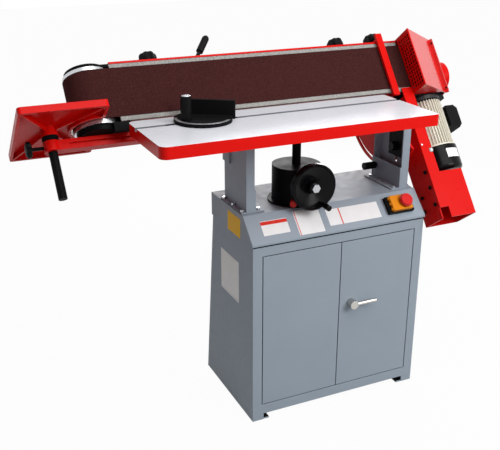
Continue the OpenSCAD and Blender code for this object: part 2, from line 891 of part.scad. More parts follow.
// Two channel columns with an outer foot; the right one has a slot for the table lock
module columns() color(grey) {
    difference() {
        both_sides() difference() {
            union() {
                block([col_out - col_t, -col_front, hood_top], [col_out, col_rear, col_top]);
                for (y = [-col_front, col_rear - col_t]) {
                    block([col_in, y, hood_top], [col_out, y + col_t, col_top]);
                }
                block([col_out - join, -col_front, hood_top],
                    [col_out + col_foot, col_rear, hood_top + col_t]);
            }
            for (y = foot_bolt_ys) {
                rod_z(bolt_r + bolt_gap, hood_top - cut, hood_top + col_t + cut, col_out + col_foot / 2, y);
            }
        }
        for (z = [guide_slot_low, guide_slot_high]) {
            rod_x(guide_slot_r, col_in, col_out + cut, guide_slot_y, z);
        }
        block([col_in, guide_slot_y - guide_slot_r, guide_slot_low],
            [col_out + cut, guide_slot_y + guide_slot_r, guide_slot_high]);
        rod_x(lock_r + bolt_gap, col_in, col_out + cut, lock_y, lock_z);
    }
}

// Angle plates bolted inside the foot of each column
module column_feet() color(grey) {
    difference() {
        both_sides() difference() {
            union() {
                block([col_in - col_t, -col_front, hood_top], [col_in, col_rear, hood_top + col_plate_h]);
                block([col_in - col_plate_w, -col_front, hood_top], [col_in, col_rear, hood_top + col_t]);
            }
            for (y = foot_bolt_ys) {
                rod_z(bolt_r + bolt_gap, hood_top - cut, hood_top + col_t + cut, foot_bolt_x, y);
            }
        }
        rod_x(lock_r + bolt_gap, col_in - col_t - cut, col_in + cut, lock_y, lock_z);
    }
}

// Hexagon bolts that hold the columns and their feet to the hood
module frame_bolts() color(steel) {
    column_bolts() {
        cylinder(r = bolt_head_r, h = bolt_head_h, $fn = 6);
        translate([0, 0, -bolt_l]) cylinder(r = bolt_r, h = bolt_l + join);
    }
}

// Outline of a pivot bracket seen from the side
module bracket_side(low) {
    polygon([[0, low], [bracket_back, low], [bracket_back, col_top - 2 * bracket_r],
        [pivot_y + bracket_r, col_top],
        [pivot_y + bracket_r, pivot_z], [pivot_y - bracket_r, pivot_z], [0, col_top]]);
    translate([pivot_y, pivot_z]) circle(bracket_r);
}

// Plates on the column tops that hold the tilt axis; the right one also holds the tilt lock
module pivot_brackets() color(grey) {
    difference() {
        translate([col_out, 0, 0]) rotate([90, 0, 90]) linear_extrude(bracket_t) bracket_side(bracket_low);
        rod_x(pivot_r + run_gap, col_out - cut, quad_in, pivot_y, pivot_z);
        rod_x(lock_r + bolt_gap, col_out - cut, quad_in, lock_y, lock_z);
    }
    difference() {
        translate([-col_out - bracket_t, 0, 0]) rotate([90, 0, 90]) linear_extrude(bracket_t)
            bracket_side(bracket_low_left);
        rod_x(pivot_r + run_gap, -quad_in, -col_out + cut, pivot_y, pivot_z);
    }
}

// Headed pins on which the head tilts
module pivot_pins() color(steel) {
    both_sides() {
        rod_x(pivot_r, col_out - col_t, quad_out + plate_gap + join, pivot_y, pivot_z);
        rod_x(pivot_head_r, quad_out + plate_gap, quad_out + plate_gap + pivot_head_t, pivot_y, pivot_z);
        rod_x(pivot_head_r, col_out - pivot_head_t - bolt_gap, col_out - bolt_gap, pivot_y, pivot_z);
    }
}

// Lift housing: a drum with a foot, bored for the spindle, the shaft and the lock
module jack_housing() color(dark) {
    difference() {
        union() {
            rod_z(lift_r, hood_top, hood_top + lift_h, lift_x, lift_y);
            rod_z(lift_foot_r, hood_top, hood_top + lift_foot_t, lift_x, lift_y);
        }
        rod_z(lift_r - lift_wall, hood_top + lift_wall, hood_top + lift_h - lift_wall, lift_x, lift_y);
        rod_z(spindle_r + belt_gap, hood_top - cut, hood_top + lift_h + cut, lift_x, lift_y);
        rod_y(shaft_r + belt_gap, lift_y - lift_r - cut, lift_y, lift_x, wheel_z);
        translate([lift_x, lift_y, lift_lock_z]) rotate(lift_lock_angle)
            rod_x(knob_stud_r + bolt_gap, lift_r - lift_wall - cut, lift_r + cut, 0, 0);
    }
}

// Switch box let into the bevel, with holes for its two buttons
module switch_base() color(dark) {
    on_bevel() difference() {
        union() {
            translate([0, 0, switch_d / 2]) cube([switch_w, switch_h, switch_d], center = true);
            translate([0, 0, join - switch_deep / 2]) {
                cube([switch_w - 3 * switch_wall, switch_h - 3 * switch_wall, switch_deep], center = true);
            }
        }
        translate([0, 0, -switch_deep / 2]) {
            cube([switch_w - 5 * switch_wall, switch_h - 5 * switch_wall, switch_deep - 2 * switch_wall],
                center = true);
        }
        for (x = [-stop_x, stop_x]) translate([x, 0, 0]) {
            cube([button_hole, button_hole, switch_deep], center = true);
        }
    }
}

// Door pan on the right-hand side, hinged on pins at its outer edge
module door_pan() {
    difference() {
        block([door_edge, -cab_front, door_low + door_gap],
            [door_side, -cab_front + door_return, door_high - door_gap]);
        block([door_edge + door_sheet, -cab_front + door_sheet, door_low + door_gap + door_sheet],
            [door_side - door_sheet, -cab_front + door_return + cut, door_high - door_gap - door_sheet]);
    }
    rod_z(pin_r, door_low + door_gap - pin_out, door_low + door_gap + pin_hold, pin_x, pin_y);
    rod_z(pin_r, door_high - door_gap - pin_hold, door_high - door_gap + pin_out, pin_x, pin_y);
}

module door_left() color(grey) {
    mirror([1, 0, 0]) door_pan();
}

module door_right() color(grey) {
    difference() {
        door_pan();
        rod_y(lever_pin_r + bolt_gap, -cab_front - cut, -cab_front + door_sheet + cut, handle_x, handle_z);
    }
}

// Lever handle with its spindle and the latch tongue behind the door
module door_handle() color(steel) {
    rod_y(lever_hub_r, -cab_front - bolt_gap - lever_hub_l, -cab_front - bolt_gap, handle_x, handle_z);
    rod_y(lever_pin_r, -cab_front - lever_hub_l, tongue_y + door_sheet, handle_x, handle_z);
    rod_x(lever_grip_r, handle_x, handle_x + lever_l, -cab_front - lever_hub_l + lever_grip_r, handle_z);
    translate([handle_x + lever_l, -cab_front - lever_hub_l + lever_grip_r, handle_z]) sphere(lever_grip_r);
    block([handle_x - tongue_w / 2, tongue_y, handle_z - tongue_l],
        [handle_x + tongue_w / 2, tongue_y + door_sheet, handle_z + tongue_w / 2]);
}

// Cast table: a plate with a rim, ribs, a mitre slot and a boss on the lift spindle
module table() color(red) {
    difference() {
        translate([0, 0, table_low]) linear_extrude(table_h) {
            rounded(table_left, table_right, table_front, table_rear, table_corner_l, table_corner_r);
        }
        difference() {
            block([table_left + table_rim, table_front + table_rim, table_low - cut],
                [table_right - table_rim, table_rear - table_rim, table_pocket]);
            block([table_left, slot_y - slot_w / 2 - slot_wall, table_z - slot_d - slot_wall],
                [table_right, slot_y + slot_w / 2 + slot_wall, table_z]);
            for (x = [table_left * 3 / 4, -guide_in + guide_foot / 2, lift_x, table_right / 2]) {
                block([x - table_rim / 2, table_front, table_low],
                    [x + table_rim / 2, table_rear, table_z]);
            }
            rod_z(2 * spindle_r, table_low, table_z, lift_x, lift_y);
        }
        block([table_left - cut, slot_y - slot_w / 2, table_z - slot_d],
            [table_right + cut, slot_y + slot_w / 2, table_z + cut]);
    }
}

// Guide plates under the table that run inside the columns
module table_guides() color(dark) {
    difference() {
        both_sides() {
            block([guide_in, guide_front, guide_low], [guide_in + guide_t, guide_rear, table_low]);
            block([table_right - guide_foot, guide_front, table_low - guide_t],
                [guide_in + join, guide_rear, table_low]);
        }
        rod_x(stud_r + bolt_gap, guide_in - cut, guide_in + guide_t + cut, guide_slot_y, guide_lock_z);
    }
}

// Spindle that carries the table
module lift_spindle() color(dark) {
    rod_z(spindle_r, spindle_low, table_low, lift_x, lift_y);
}

// Table lock: a headed stud through the slot of the right column with a knob inside
module table_lock() color(dark) {
    rod_x(2 * stud_r, col_out + bolt_gap, col_out + bolt_gap + guide_t / 2, guide_slot_y, guide_lock_z);
    translate([guide_in - bolt_gap, guide_slot_y, guide_lock_z]) rotate([0, -90, 0]) {
        star_knob(guide_knob_r, guide_knob_r, stud_r, col_out - guide_in + 2 * bolt_gap + join);
    }
}

// Dished handwheel with a pin for its crank grip
module handwheel() color(dark) {
    translate([lift_x, wheel_front, wheel_z]) rotate([-90, 0, 0]) {
        difference() {
            rotate_extrude() polygon([[0, 0], [wheel_hub_r, 0],
                [wheel_hub_r + wheel_web, wheel_hub_l - 2 * wheel_web],
                [wheel_r - wheel_rim_w, wheel_web], [wheel_r - wheel_rim_w / 2, 0],
                    [wheel_r, wheel_rim_w / 2], [wheel_r, wheel_rim_l - wheel_web],
                [wheel_r - wheel_rim_w, wheel_rim_l], [wheel_hub_r + wheel_web, wheel_hub_l - wheel_web],
                    [wheel_hub_r, wheel_hub_l], [0, wheel_hub_l]]);
            translate([0, 0, -cut]) cylinder(r = shaft_r + run_gap, h = wheel_hub_l + 2 * cut);
        }
        rotate(-grip_angle) translate([grip_at, 0, -grip_l - wheel_web])
            cylinder(r = grip_r / 2, h = grip_l + 3 * wheel_web);
    }
}

// Crank grip that spins on the handwheel pin
module wheel_grip() color(dark) {
    translate([lift_x, wheel_front, wheel_z]) rotate([-90, 0, 0]) rotate(-grip_angle)
        translate([grip_at, 0, -grip_l - wheel_web / 2]) {
        rotate_extrude() polygon([[grip_r / 2 + run_gap, 0], [grip_r, grip_r / 3],
            [grip_r, grip_l / 2], [grip_r * 3 / 4, grip_l - wheel_web / 2],
                [grip_r / 2 + run_gap, grip_l - wheel_web / 2]]);
    }
}

// Handwheel shaft with its nut outside and its bevel gear inside the housing
module lift_pinion() color(steel) {
    rod_y(shaft_r, wheel_front - shaft_nut_l, gear_y + join, lift_x, wheel_z);
    translate([lift_x, wheel_front - shaft_nut_l, wheel_z]) rotate([-90, 0, 0]) {
        cylinder(r = shaft_nut_r, h = shaft_nut_l, $fn = 6);
    }
    translate([lift_x, gear_y, wheel_z]) rotate([-90, 0, 0]) bevel_gear();
}

// Bevel gear blank, cut at 45 degrees
module bevel_gear() {
    rotate_extrude() polygon([[0, 0], [gear_r, 0], [gear_r, gear_back],
        [gear_small_r, gear_back + gear_cone],
        [0, gear_back + gear_cone]]);
}

// Lift nut with its bevel gear, turning round the spindle
module lift_nut() color(steel) {
    difference() {
        union() {
            translate([lift_x, lift_y, gear_z]) bevel_gear();
            rod_z(gear_small_r, hood_top + lift_wall + belt_gap, gear_z + join, lift_x, lift_y);
        }
        rod_z(spindle_r + belt_gap, hood_top, wheel_z, lift_x, lift_y);
    }
}

// Red lock screw of the lift
module lift_lock() color(red) {
    translate([lift_x, lift_y, lift_lock_z]) rotate(lift_lock_angle) {
        rod_x(knob_stud_r, lift_r - lift_wall - join, lift_r + cut, 0, 0);
        rod_x(lift_lock_r, lift_r + join, lift_r + join + lift_lock_l, 0, 0);
    }
}

// Bar that slides in the mitre slot
module gauge_bar() color(steel) {
    block([gauge_x + bar_left, slot_y - slot_w / 2 + bar_gap, table_z - slot_d + bar_gap],
        [gauge_x + bar_right, slot_y + slot_w / 2 - bar_gap, table_z - bar_gap]);
    rod_z(knob_stud_r, table_z - slot_d / 2, table_z + gauge_t, gauge_x, slot_y);
}

// Half-round gauge base with its fence
module on_gauge() {
    translate([gauge_x, slot_y, table_z + bar_gap]) rotate(gauge_angle) children();
}

module gauge_head() color(dark) {
    on_gauge() difference() {
        union() {
            difference() {
                cylinder(r = gauge_r, h = gauge_t);
                block([-gauge_r - cut, fence_at, -cut], [gauge_r + cut, gauge_r + cut, gauge_t + cut]);
            }
            block([fence_left, fence_at - join, 0], [fence_right, fence_at + fence_t, fence_h]);
        }
        translate([0, 0, -cut]) cylinder(r = knob_stud_r + run_gap, h = gauge_t + 2 * cut);
        translate([gauge_handle_x, gauge_handle_y, -cut])
            cylinder(r = knob_stud_r + bolt_gap, h = gauge_t + 2 * cut);
    }
}

// Upright handle that locks the gauge angle
module gauge_handle() color(dark) {
    on_gauge() translate([gauge_handle_x, gauge_handle_y, 0]) {
        translate([0, 0, gauge_t + bar_gap]) cylinder(r = gauge_handle_r, h = gauge_handle_l);
        translate([0, 0, gauge_t / 4]) cylinder(r = knob_stud_r, h = gauge_t);
    }
}

// Slot for the tension lever between two heights
module lever_slot(low, high) {
    block([tension_slot_left, tension_b - tension_slot_half, low],
        [tension_slot_right, tension_b + tension_slot_half, high]);
}

// Holes for the studs of the knobs on the belt cover between two heights
module stud_holes(low, high) {
    for (x = cover_knob_xs) rod_z(knob_stud_r + bolt_gap, low, high, x, cover_knob_b);
    rod_z(knob_stud_r + bolt_gap, low, high, stop_mid, stop_knob_b);
}

// Head beam: a box inside the belt with a lever slot, slide guides and the left pivot ear
module head_frame() color(red) {
    on_head() difference() {
        union() {
            difference() {
                block([beam_left, platen_back, beam_low], [beam_right, beam_back, cover_base]);
                block([beam_left - cut, platen_back + beam_t, beam_low + beam_t],
                    [beam_right + cut, beam_back - beam_t, cover_base - beam_t]);
            }
            for (w = [slide_low - slide_gap - slide_guide, slide_high + slide_gap]) {
                block([beam_left, platen_back + join, w],
                    [slide_right - 2 * slide_guide, beam_back - join, w + slide_guide]);
            }
            block([-quad_out, -bracket_r, 0], [-quad_in, bracket_r, beam_low + join]);
            rod_x(bracket_r, -quad_out, -quad_in, 0, 0);
        }
        rod_x(pivot_r + run_gap, -quad_out - cut, -quad_in + cut, 0, 0);
        lever_slot(cover_base - beam_t - cut, cover_base + cut);
        stud_holes(cover_base - beam_t - cut, cover_base + cut);
        rod_y(knob_stud_r + run_gap, platen_back - cut, tension_b + tension_cam_t, tension_x, tension_w);
    }
}

// Flat platen behind the working run of the belt
module platen() color(steel) {
    on_head() block([platen_left, platen_front, drum_low], [platen_right, platen_back, platen_top]);
}

// Outline of the belt loop at a given radius
module loop(r) {
    for (x = [idler_x, drive_x]) translate([x, 0]) circle(r);
    translate([idler_x, -r]) square([drive_x - idler_x, 2 * r]);
}

// Abrasive belt round both drums
module belt() color([0.26, 0.13, 0.12]) {
    on_head() translate([0, 0, belt_low]) linear_extrude(belt_w) difference() {
        loop(belt_r);
        loop(belt_in);
    }
}

// Sheet cover over the top and back of the belt, with its front edge folded down
module belt_cover() color(red) {
    on_head() difference() {
        union() {
            block([platen_left, -belt_r, cover_base],
                [guard_x - plate_gap, cover_back + cover_t, cover_base + cover_t]);
            block([platen_left, -belt_r, cover_base - cover_t],
                [guard_x - plate_gap, -belt_in, cover_base + join]);
            block([cover_left, cover_back, cover_low],
                [guard_x - plate_gap, cover_back + cover_t, cover_base + cover_t]);
        }
        block([platen_left - cut, -cover_notch_half, cover_base - cut],
            [cover_notch, cover_notch_half, cover_base + cover_t + cut]);
        lever_slot(cover_base - cut, cover_base + cover_t + cut);
        stud_holes(cover_base - cut, cover_base + cover_t + cut);
    }
}

// Wedge between two angles, reaching past the quadrant
module pie(a0, a1) {
    polygon([[0, 0], for (a = [a0, (a0 + a1) / 2, a1]) 2 * quad_r * [cos(a), sin(a)]]);
}

// Quadrant under the head, with the curved slot for the tilt lock
module tilt_quadrant() color(red) {
    on_head() difference() {
        union() {
            translate([quad_in, 0, 0]) rotate([90, 0, 90]) linear_extrude(quad_t) {
                intersection() {
                    circle(quad_r, $fn = 128);
                    pie(lock_polar - quad_margin, lock_polar + tilt_range + quad_margin);
                }
                circle(bracket_r);
                translate([-bracket_r, 0]) square([beam_back + bracket_r, beam_low]);
            }
            block([quad_out - join, -bracket_r, beam_low - quad_t],
                [quad_out + quad_foot, beam_back, beam_low]);
        }
        rod_x(pivot_r + run_gap, quad_in - cut, quad_out + cut, 0, 0);
        translate([quad_in - cut, 0, 0]) rotate([90, 0, 90]) linear_extrude(quad_t + 2 * cut) {
            intersection() {
                difference() {
                    circle(quad_slot_r + quad_slot_half, $fn = 128);
                    circle(quad_slot_r - quad_slot_half, $fn = 128);
                }
                pie(lock_polar, lock_polar + tilt_range);
            }
            for (a = [lock_polar, lock_polar + tilt_range]) {
                rotate(a) translate([quad_slot_r, 0]) circle(quad_slot_half - run_gap);
            }
        }
    }
}

// Bent plate that carries the motor below and stands against the beam
module drive_bracket() color(dark) {
    on_head() difference() {
        union() {
            translate([0, 0, -drive_t]) linear_extrude(drive_t) {
                polygon([[beam_right, -drive_front], [drive_cut_x, -drive_front],
                    [drive_right, drive_cut_b], [drive_right, drive_back], [beam_right, drive_back]]);
            }
            block([beam_right, -drive_half, -drive_t], [beam_right + drive_t, drive_half, drive_top]);
            block([drive_x, -drive_t, -drive_t], [drive_x + shell_r, drive_t, 0]);
            block([drive_x - drive_t, 0, -drive_t], [drive_x + drive_t, shell_r, 0]);
        }
        rod_z(drive_hole_r, -drive_t - cut, cut, drive_x, 0);
    }
}

// Plan of the guard, as a strip of given thickness
module guard_plan(t) {
    translate([guard_x, -guard_front]) square([t, guard_front - guard_back]);
    translate([guard_x, -guard_front]) rotate(guard_angle) square([guard_run, t]);
    translate([guard_end_x, guard_end_b]) rotate(guard_angle - 90) square([guard_flange, t]);
}

// Guard in front of the drive drum, with a perforated left face, a closed top and a floor
module drive_guard() color(red) {
    on_head() difference() {
        union() {
            translate([0, 0, guard_low]) linear_extrude(guard_top - guard_low) guard_plan(guard_t);
            translate([0, 0, guard_top - guard_t]) linear_extrude(guard_t) {
                polygon([[guard_x, -guard_front], [guard_end_x, guard_end_b], [guard_x, guard_end_b]]);
            }
            translate([0, 0, guard_low]) linear_extrude(guard_t) {
                polygon([[guard_x, -guard_front], [guard_floor_x, guard_floor_b], [guard_x, guard_floor_b]]);
            }
        }
        for (i = [0 : guard_cols - 1]) for (j = [0 : guard_rows - 1]) {
            rod_x(guard_hole_r, guard_x - cut, guard_x + guard_t + cut, -guard_back - guard_pitch * (i + 1),
                guard_low + guard_t + guard_pitch * (j + 1));
        }
    }
}

// Plan of the drum cover at a given radius, reaching out past its open sides
module drum_cover_plan(r, out) {
    intersection() {
        union() {
            translate([drive_x, 0]) circle(r);
            translate([shell_x - out, shell_b - out]) square([drive_x - shell_x + out, r - shell_b + out]);
        }
        translate([shell_x - out, shell_b - out]) square(3 * shell_r);
    }
}

// Round cover behind the drive drum, with the dust port
module drum_cover() color(red) {
    on_head() difference() {
        union() {
            linear_extrude(guard_top) drum_cover_plan(shell_r, 0);
            linear_extrude(guard_top) translate([guard_end_x, guard_end_b]) rotate(guard_angle - 90) {
                translate([-2 * guard_t, guard_t]) square([guard_flange + 2 * guard_t, guard_t]);
            }
            rod_x(port_r, drive_x, port_end, port_b, port_w);
        }
        translate([0, 0, -cut]) linear_extrude(guard_top - guard_t + cut) {
            drum_cover_plan(shell_r - guard_t, cut);
        }
        rod_x(port_r - guard_t, drive_x, port_end + cut, port_b, port_w);
    }
}

// Dust chute: a narrow duct beside the motor that widens below it
module dust_chute() color(red) {
    on_head() difference() {
        union() {
            block([chute_left, -chute_front, chute_low], [chute_neck, chute_back, -drive_t]);
            block([chute_left, -chute_front, chute_low], [chute_right, chute_back, chute_step]);
            block([chute_left, -chute_front, -drive_t - join],
                [chute_neck, -chute_front + chute_t, chute_top]);
        }
        block([chute_left + chute_t, -chute_front + chute_t, chute_low - cut],
            [chute_neck - chute_t, chute_back - chute_t, -drive_t + cut]);
        block([chute_left + chute_t, -chute_front + chute_t, chute_low - cut],
            [chute_right - chute_t, chute_back - chute_t, chute_step - chute_t]);
        block([chute_left - cut, -chute_front - cut, chute_low - cut],
            [chute_left + chute_cut_w, -chute_front + chute_t + cut, chute_low + chute_cut_h]);
    }
}

// Cap screws on the side of the chute and on the guard flange
module head_screws() color(dark) {
    on_head() {
        for (s = chute_screw_shares) {
            rod_x(cap_r, chute_left - cap_h, chute_left, -chute_front + s[0] * (chute_front + chute_back),
                chute_low - s[1] * chute_low);
        }
        for (s = guard_screw_shares) {
            translate([guard_end_x, guard_end_b, guard_low + s * (guard_top - guard_low)])
                rotate(guard_angle) {
                rod_x(guard_flange / 4, -cap_h, 0, -guard_flange * 5 / 8, 0);
            }
        }
    }
}

// Finned motor shell with closed ends
module motor_body() color([0.85, 0.83, 0.78]) {
    on_head() translate([drive_x, 0, 0]) difference() {
        union() {
            translate([0, 0, motor_low]) cylinder(r = motor_core_r, h = motor_high - motor_low);
            for (i = [0 : motor_fins - 1]) rotate(i * 360 / motor_fins) {
                translate([motor_core_r - join, -motor_fin_t / 2, motor_low + motor_end])
                    cube([motor_r - motor_core_r, motor_fin_t, motor_bore_h]);
            }
            for (w = [motor_low, motor_high - motor_end]) translate([0, 0, w])
                cylinder(r = motor_r, h = motor_end);
        }
        translate([0, 0, motor_low + motor_end])
            cylinder(r = motor_bore_r, h = motor_bore_h);
        translate([0, 0, motor_low - cut])
            cylinder(r = motor_shaft_r + belt_gap, h = motor_high - motor_low + 2 * cut);
    }
}

// Stator ring inside the motor
module motor_stator() color([0.55, 0.33, 0.18]) {
    on_head() translate([drive_x, 0, motor_low + 2 * motor_end]) difference() {
        cylinder(r = motor_bore_r - run_gap, h = motor_high - motor_low - 4 * motor_end);
        translate([0, 0, -cut]) cylinder(r = rotor_r + rotor_gap, h = motor_high - motor_low + cut);
    }
}

// Rotor on its shaft, which also carries the drive drum
module motor_rotor() color(steel) {
    on_head() translate([drive_x, 0, 0]) {
        translate([0, 0, motor_low - 2 * motor_end - fan_l])
            cylinder(r = motor_shaft_r, h = drum_high - motor_low + 2 * motor_end + fan_l);
        translate([0, 0, motor_low + 2 * motor_end])
            cylinder(r = rotor_r, h = motor_high - motor_low - 4 * motor_end);
    }
}

// Cooling fan on the lower end of the shaft
module motor_fan() color(dark) {
    on_head() translate([drive_x, 0, motor_low - 2 * motor_end - fan_l]) difference() {
        union() {
            cylinder(r = 2 * motor_shaft_r, h = fan_l);
            for (i = [0 : fan_blades - 1]) rotate(i * 360 / fan_blades)
                block([motor_shaft_r + join, -motor_fin_t / 2, 0], [fan_r, motor_fin_t / 2, fan_l]);
        }
        translate([0, 0, -cut]) cylinder(r = motor_shaft_r + run_gap, h = fan_l + 2 * cut);
    }
}

// Cup with a rounded lower edge
module cup(r, h, round_r) {
    rotate_extrude() {
        square([r - round_r, h]);
        translate([0, round_r]) square([r, h - round_r]);
        translate([r - round_r, round_r]) circle(round_r);
    }
}

// Fan cover over the lower end of the motor, with a grille
module fan_cover() color(dark) {
    on_head() translate([drive_x, 0, fan_cover_low]) difference() {
        cup(fan_cover_r, motor_low - fan_cover_low + motor_end / 2, fan_round);
        translate([0, 0, guard_t])
            cup(motor_r + belt_gap, motor_low - fan_cover_low + motor_end, fan_round - guard_t);
        for (r = [fan_cover_r / 6, fan_cover_r / 3, fan_cover_r / 2]) difference() {
            translate([0, 0, -cut]) cylinder(r = r + guard_t, h = guard_t + 2 * cut);
            translate([0, 0, -2 * cut]) cylinder(r = r, h = guard_t + 4 * cut);
            for (a = [0, 90]) rotate(a) cube([2 * fan_cover_r, 2 * guard_t, 4 * guard_t], center = true);
        }
    }
}

// Terminal box on the right of the motor
module terminal_box() color(dark) {
    on_head() translate([0, box_half, 0]) rotate([90, 0, 0]) linear_extrude(2 * box_half) {
        polygon([[drive_x + motor_r + belt_gap, box_low + box_chamfer],
            [box_right - box_chamfer, box_low], [box_right, box_low + box_chamfer],
            [box_right, box_top - box_chamfer], [box_right - box_chamfer, box_top],
                [drive_x + motor_r + belt_gap, box_top]]);
    }
}

// Arm under the head that holds the end table post
module end_arm() color(red) {
    on_head() difference() {
        union() {
            block([post_x, post_b - arm_w / 2, arm_top - arm_h], [arm_right, post_b + arm_w / 2, arm_top]);
            block([arm_right - arm_block, post_b - arm_w / 2, arm_top - join],
                [arm_right, post_b + arm_w / 2, beam_low]);
            rod_z(post_boss_r, arm_top - arm_h, arm_top, post_x, post_b);
        }
        rod_z(post_r + run_gap, arm_top - arm_h - cut, arm_top + cut, post_x, post_b);
        block([post_x + 2 * post_boss_r, post_b - arm_w / 2 - cut, arm_top - arm_h / 2 - arm_groove / 2],
            [arm_right - arm_block, post_b - arm_w / 2 + arm_groove, arm_top - arm_h / 2 + arm_groove / 2]);
        rod_x(knob_stud_r + bolt_gap, arm_end - cut, post_x, post_b, arm_top - arm_h / 2);
    }
}

// Drum on the motor shaft, a shell with two webs
module drive_drum() color(steel) {
    on_head() translate([drive_x, 0, drum_low]) difference() {
        cylinder(r = drum_r, h = drum_l);
        translate([0, 0, drum_end]) cylinder(r = drum_r - drum_wall, h = drum_l - 2 * drum_end);
        translate([0, 0, -cut]) cylinder(r = motor_shaft_r + run_gap, h = drum_l + 2 * cut);
    }
}

// Plan of a yoke arm with a round end on the idler axis
module yoke_arm(r) {
    translate([idler_x, 0]) circle(r);
    translate([idler_x, -yoke_half]) square([yoke_web + yoke_t - idler_x, 2 * yoke_half]);
}

// Sliding yoke that carries the idler drum
module idler_yoke() color(dark) {
    on_head() difference() {
        union() {
            translate([0, 0, yoke_low - yoke_low_t]) linear_extrude(yoke_low_t) yoke_arm(yoke_r);
            translate([0, 0, yoke_high]) linear_extrude(yoke_high_t) yoke_arm(yoke_r);
            block([yoke_web, -yoke_half, yoke_low - join],
                [yoke_web + yoke_t, yoke_half, yoke_high + join]);
            block([yoke_web + join, -slide_half, slide_low], [slide_right, slide_half, slide_high]);
            block([cheek_left, platen_front, cheek_low],
                [yoke_web + yoke_t, -yoke_half + join, cheek_high]);
        }
        rod_z(axle_r + run_gap, yoke_low - yoke_low_t - cut, yoke_high + yoke_high_t + cut, idler_x, 0);
    }
}

// Fixed axle of the idler drum
module idler_axle() color(steel) {
    on_head() rod_z(axle_r, yoke_low - yoke_low_t, yoke_high + yoke_high_t + cut, idler_x, 0);
}

// Ball bearings in the ends of the idler drum
module idler_bearings() color(steel) {
    on_head() for (w = [drum_low + join, drum_high - join - bearing_h]) translate([idler_x, 0, w])
        difference() {
        cylinder(r = bearing_r, h = bearing_h);
        translate([0, 0, -cut]) cylinder(r = axle_r + run_gap, h = bearing_h + 2 * cut);
    }
}

// Idler drum, a shell with two webs bored for the bearings
module idler_drum() color(steel) {
    on_head() translate([idler_x, 0, drum_low]) difference() {
        cylinder(r = drum_r, h = drum_l);
        translate([0, 0, drum_end]) cylinder(r = drum_r - drum_wall, h = drum_l - 2 * drum_end);
        translate([0, 0, -cut]) cylinder(r = bearing_r + run_gap, h = drum_l + 2 * cut);
    }
}

// Tension lever: cam on a pin in the beam, rod and grip
module tension_lever() color(dark) {
    on_head() translate([tension_x, tension_b, tension_w]) rotate([0, tension_lean, 0]) {
        rod_y(tension_cam_r, -tension_cam_t / 2, tension_cam_t / 2, 0, 0);
        rod_y(knob_stud_r, platen_back + join - tension_b, 0, 0, 0);
        cylinder(r = tension_r, h = tension_l - join);
        translate([0, 0, tension_l - tension_grip_l])
            cylinder(r = tension_grip_r, h = tension_grip_l - tension_grip_r);
        translate([0, 0, tension_l - tension_grip_r]) sphere(tension_grip_r);
    }
}

// Plan of the end table, cut away round the belt
module end_plan(inset) {
    difference() {
        rounded(end_left + inset, end_right - inset, -end_front + inset, end_back - inset,
            end_corner, end_corner);
        translate([idler_x, 0]) circle(belt_r + end_gap + inset);
        translate([idler_x, -belt_r - end_gap - inset])
            square([2 * belt_r, 2 * (belt_r + end_gap + inset)]);
    }
}

// Rib from the post boss towards a corner
module end_table_rib(x, b) {
    translate([post_x, post_b]) rotate(atan2(b - post_b, x - post_x)) translate([0, -end_rib / 2])
        square([norm([x - post_x, b - post_b]), end_rib]);
}

// End table: a cast plate with a rim, ribs and a boss
module end_table() color(red) {
    on_head() difference() {
        union() {
            translate([0, 0, end_top - end_t]) linear_extrude(end_t) end_plan(0);
            translate([0, 0, end_top - end_rim_h]) linear_extrude(end_rim_h) {
                difference() {
                    end_plan(0);
                    end_plan(end_t);
                }
                for (x = [end_left + end_t, end_right - end_t])
                    for (b = [-end_front + end_t, end_back - end_t]) end_table_rib(x, b);
            }
            rod_z(post_boss_r, post_boss_low, end_top - join, post_x, post_b);
        }
        rod_z(post_r + run_gap, post_boss_low - cut, end_top - end_t, post_x, post_b);
    }
}

// Post of the end table with its collar
module end_post() color(dark) {
    on_head() {
        rod_z(post_r, post_low, post_top, post_x, post_b);
        rod_z(post_boss_r, post_collar_low, post_boss_low - bolt_gap, post_x, post_b);
    }
}

// Clamp knob at the end of the arm
module end_knob() color(dark) {
    on_head() translate([arm_end - end_stem_l, post_b, arm_top - arm_h / 2]) rotate([0, -90, 0]) {
        star_knob(end_knob_r, end_knob_h, knob_stud_r, end_stem_l + knob_stud_r);
    }
}

// Star knobs that hold the belt cover
module cover_knob_left() color(dark) {
    on_head() translate([cover_knob_xs[0], cover_knob_b, knob_seat + bolt_gap])
        star_knob(knob_r, knob_h, knob_stud_r, knob_stud_l);
}

module cover_knob_right() color(dark) {
    on_head() translate([cover_knob_xs[1], cover_knob_b, knob_seat + bolt_gap])
        star_knob(knob_r, knob_h, knob_stud_r, knob_stud_l);
}

// Work stop: a strip in front of the belt on a slotted arm
module work_stop() color(red) {
    on_head() difference() {
        union() {
            block([stop_left, stop_front, stop_low],
                [stop_left + stop_w, stop_front + stop_t, stop_arm_low + stop_arm_t + stop_rise]);
            block([stop_left, stop_front, stop_arm_low],
                [stop_left + stop_w, stop_arm_back, stop_arm_low + stop_arm_t]);
        }
        for (b = [stop_knob_b - stop_slot_half, stop_knob_b + stop_slot_half])
            rod_z(stop_slot_r, stop_arm_low - cut, stop_arm_low + stop_arm_t + cut, stop_mid, b);
        block([stop_mid - stop_slot_r, stop_knob_b - stop_slot_half, stop_arm_low - cut],
            [stop_mid + stop_slot_r, stop_knob_b + stop_slot_half, stop_arm_low + stop_arm_t + cut]);
    }
}

module work_stop_knob() color(dark) {
    on_head() translate([stop_mid, stop_knob_b, stop_arm_low + stop_arm_t + belt_gap])
        star_knob(knob_r, knob_h, knob_stud_r, knob_stud_l);
}

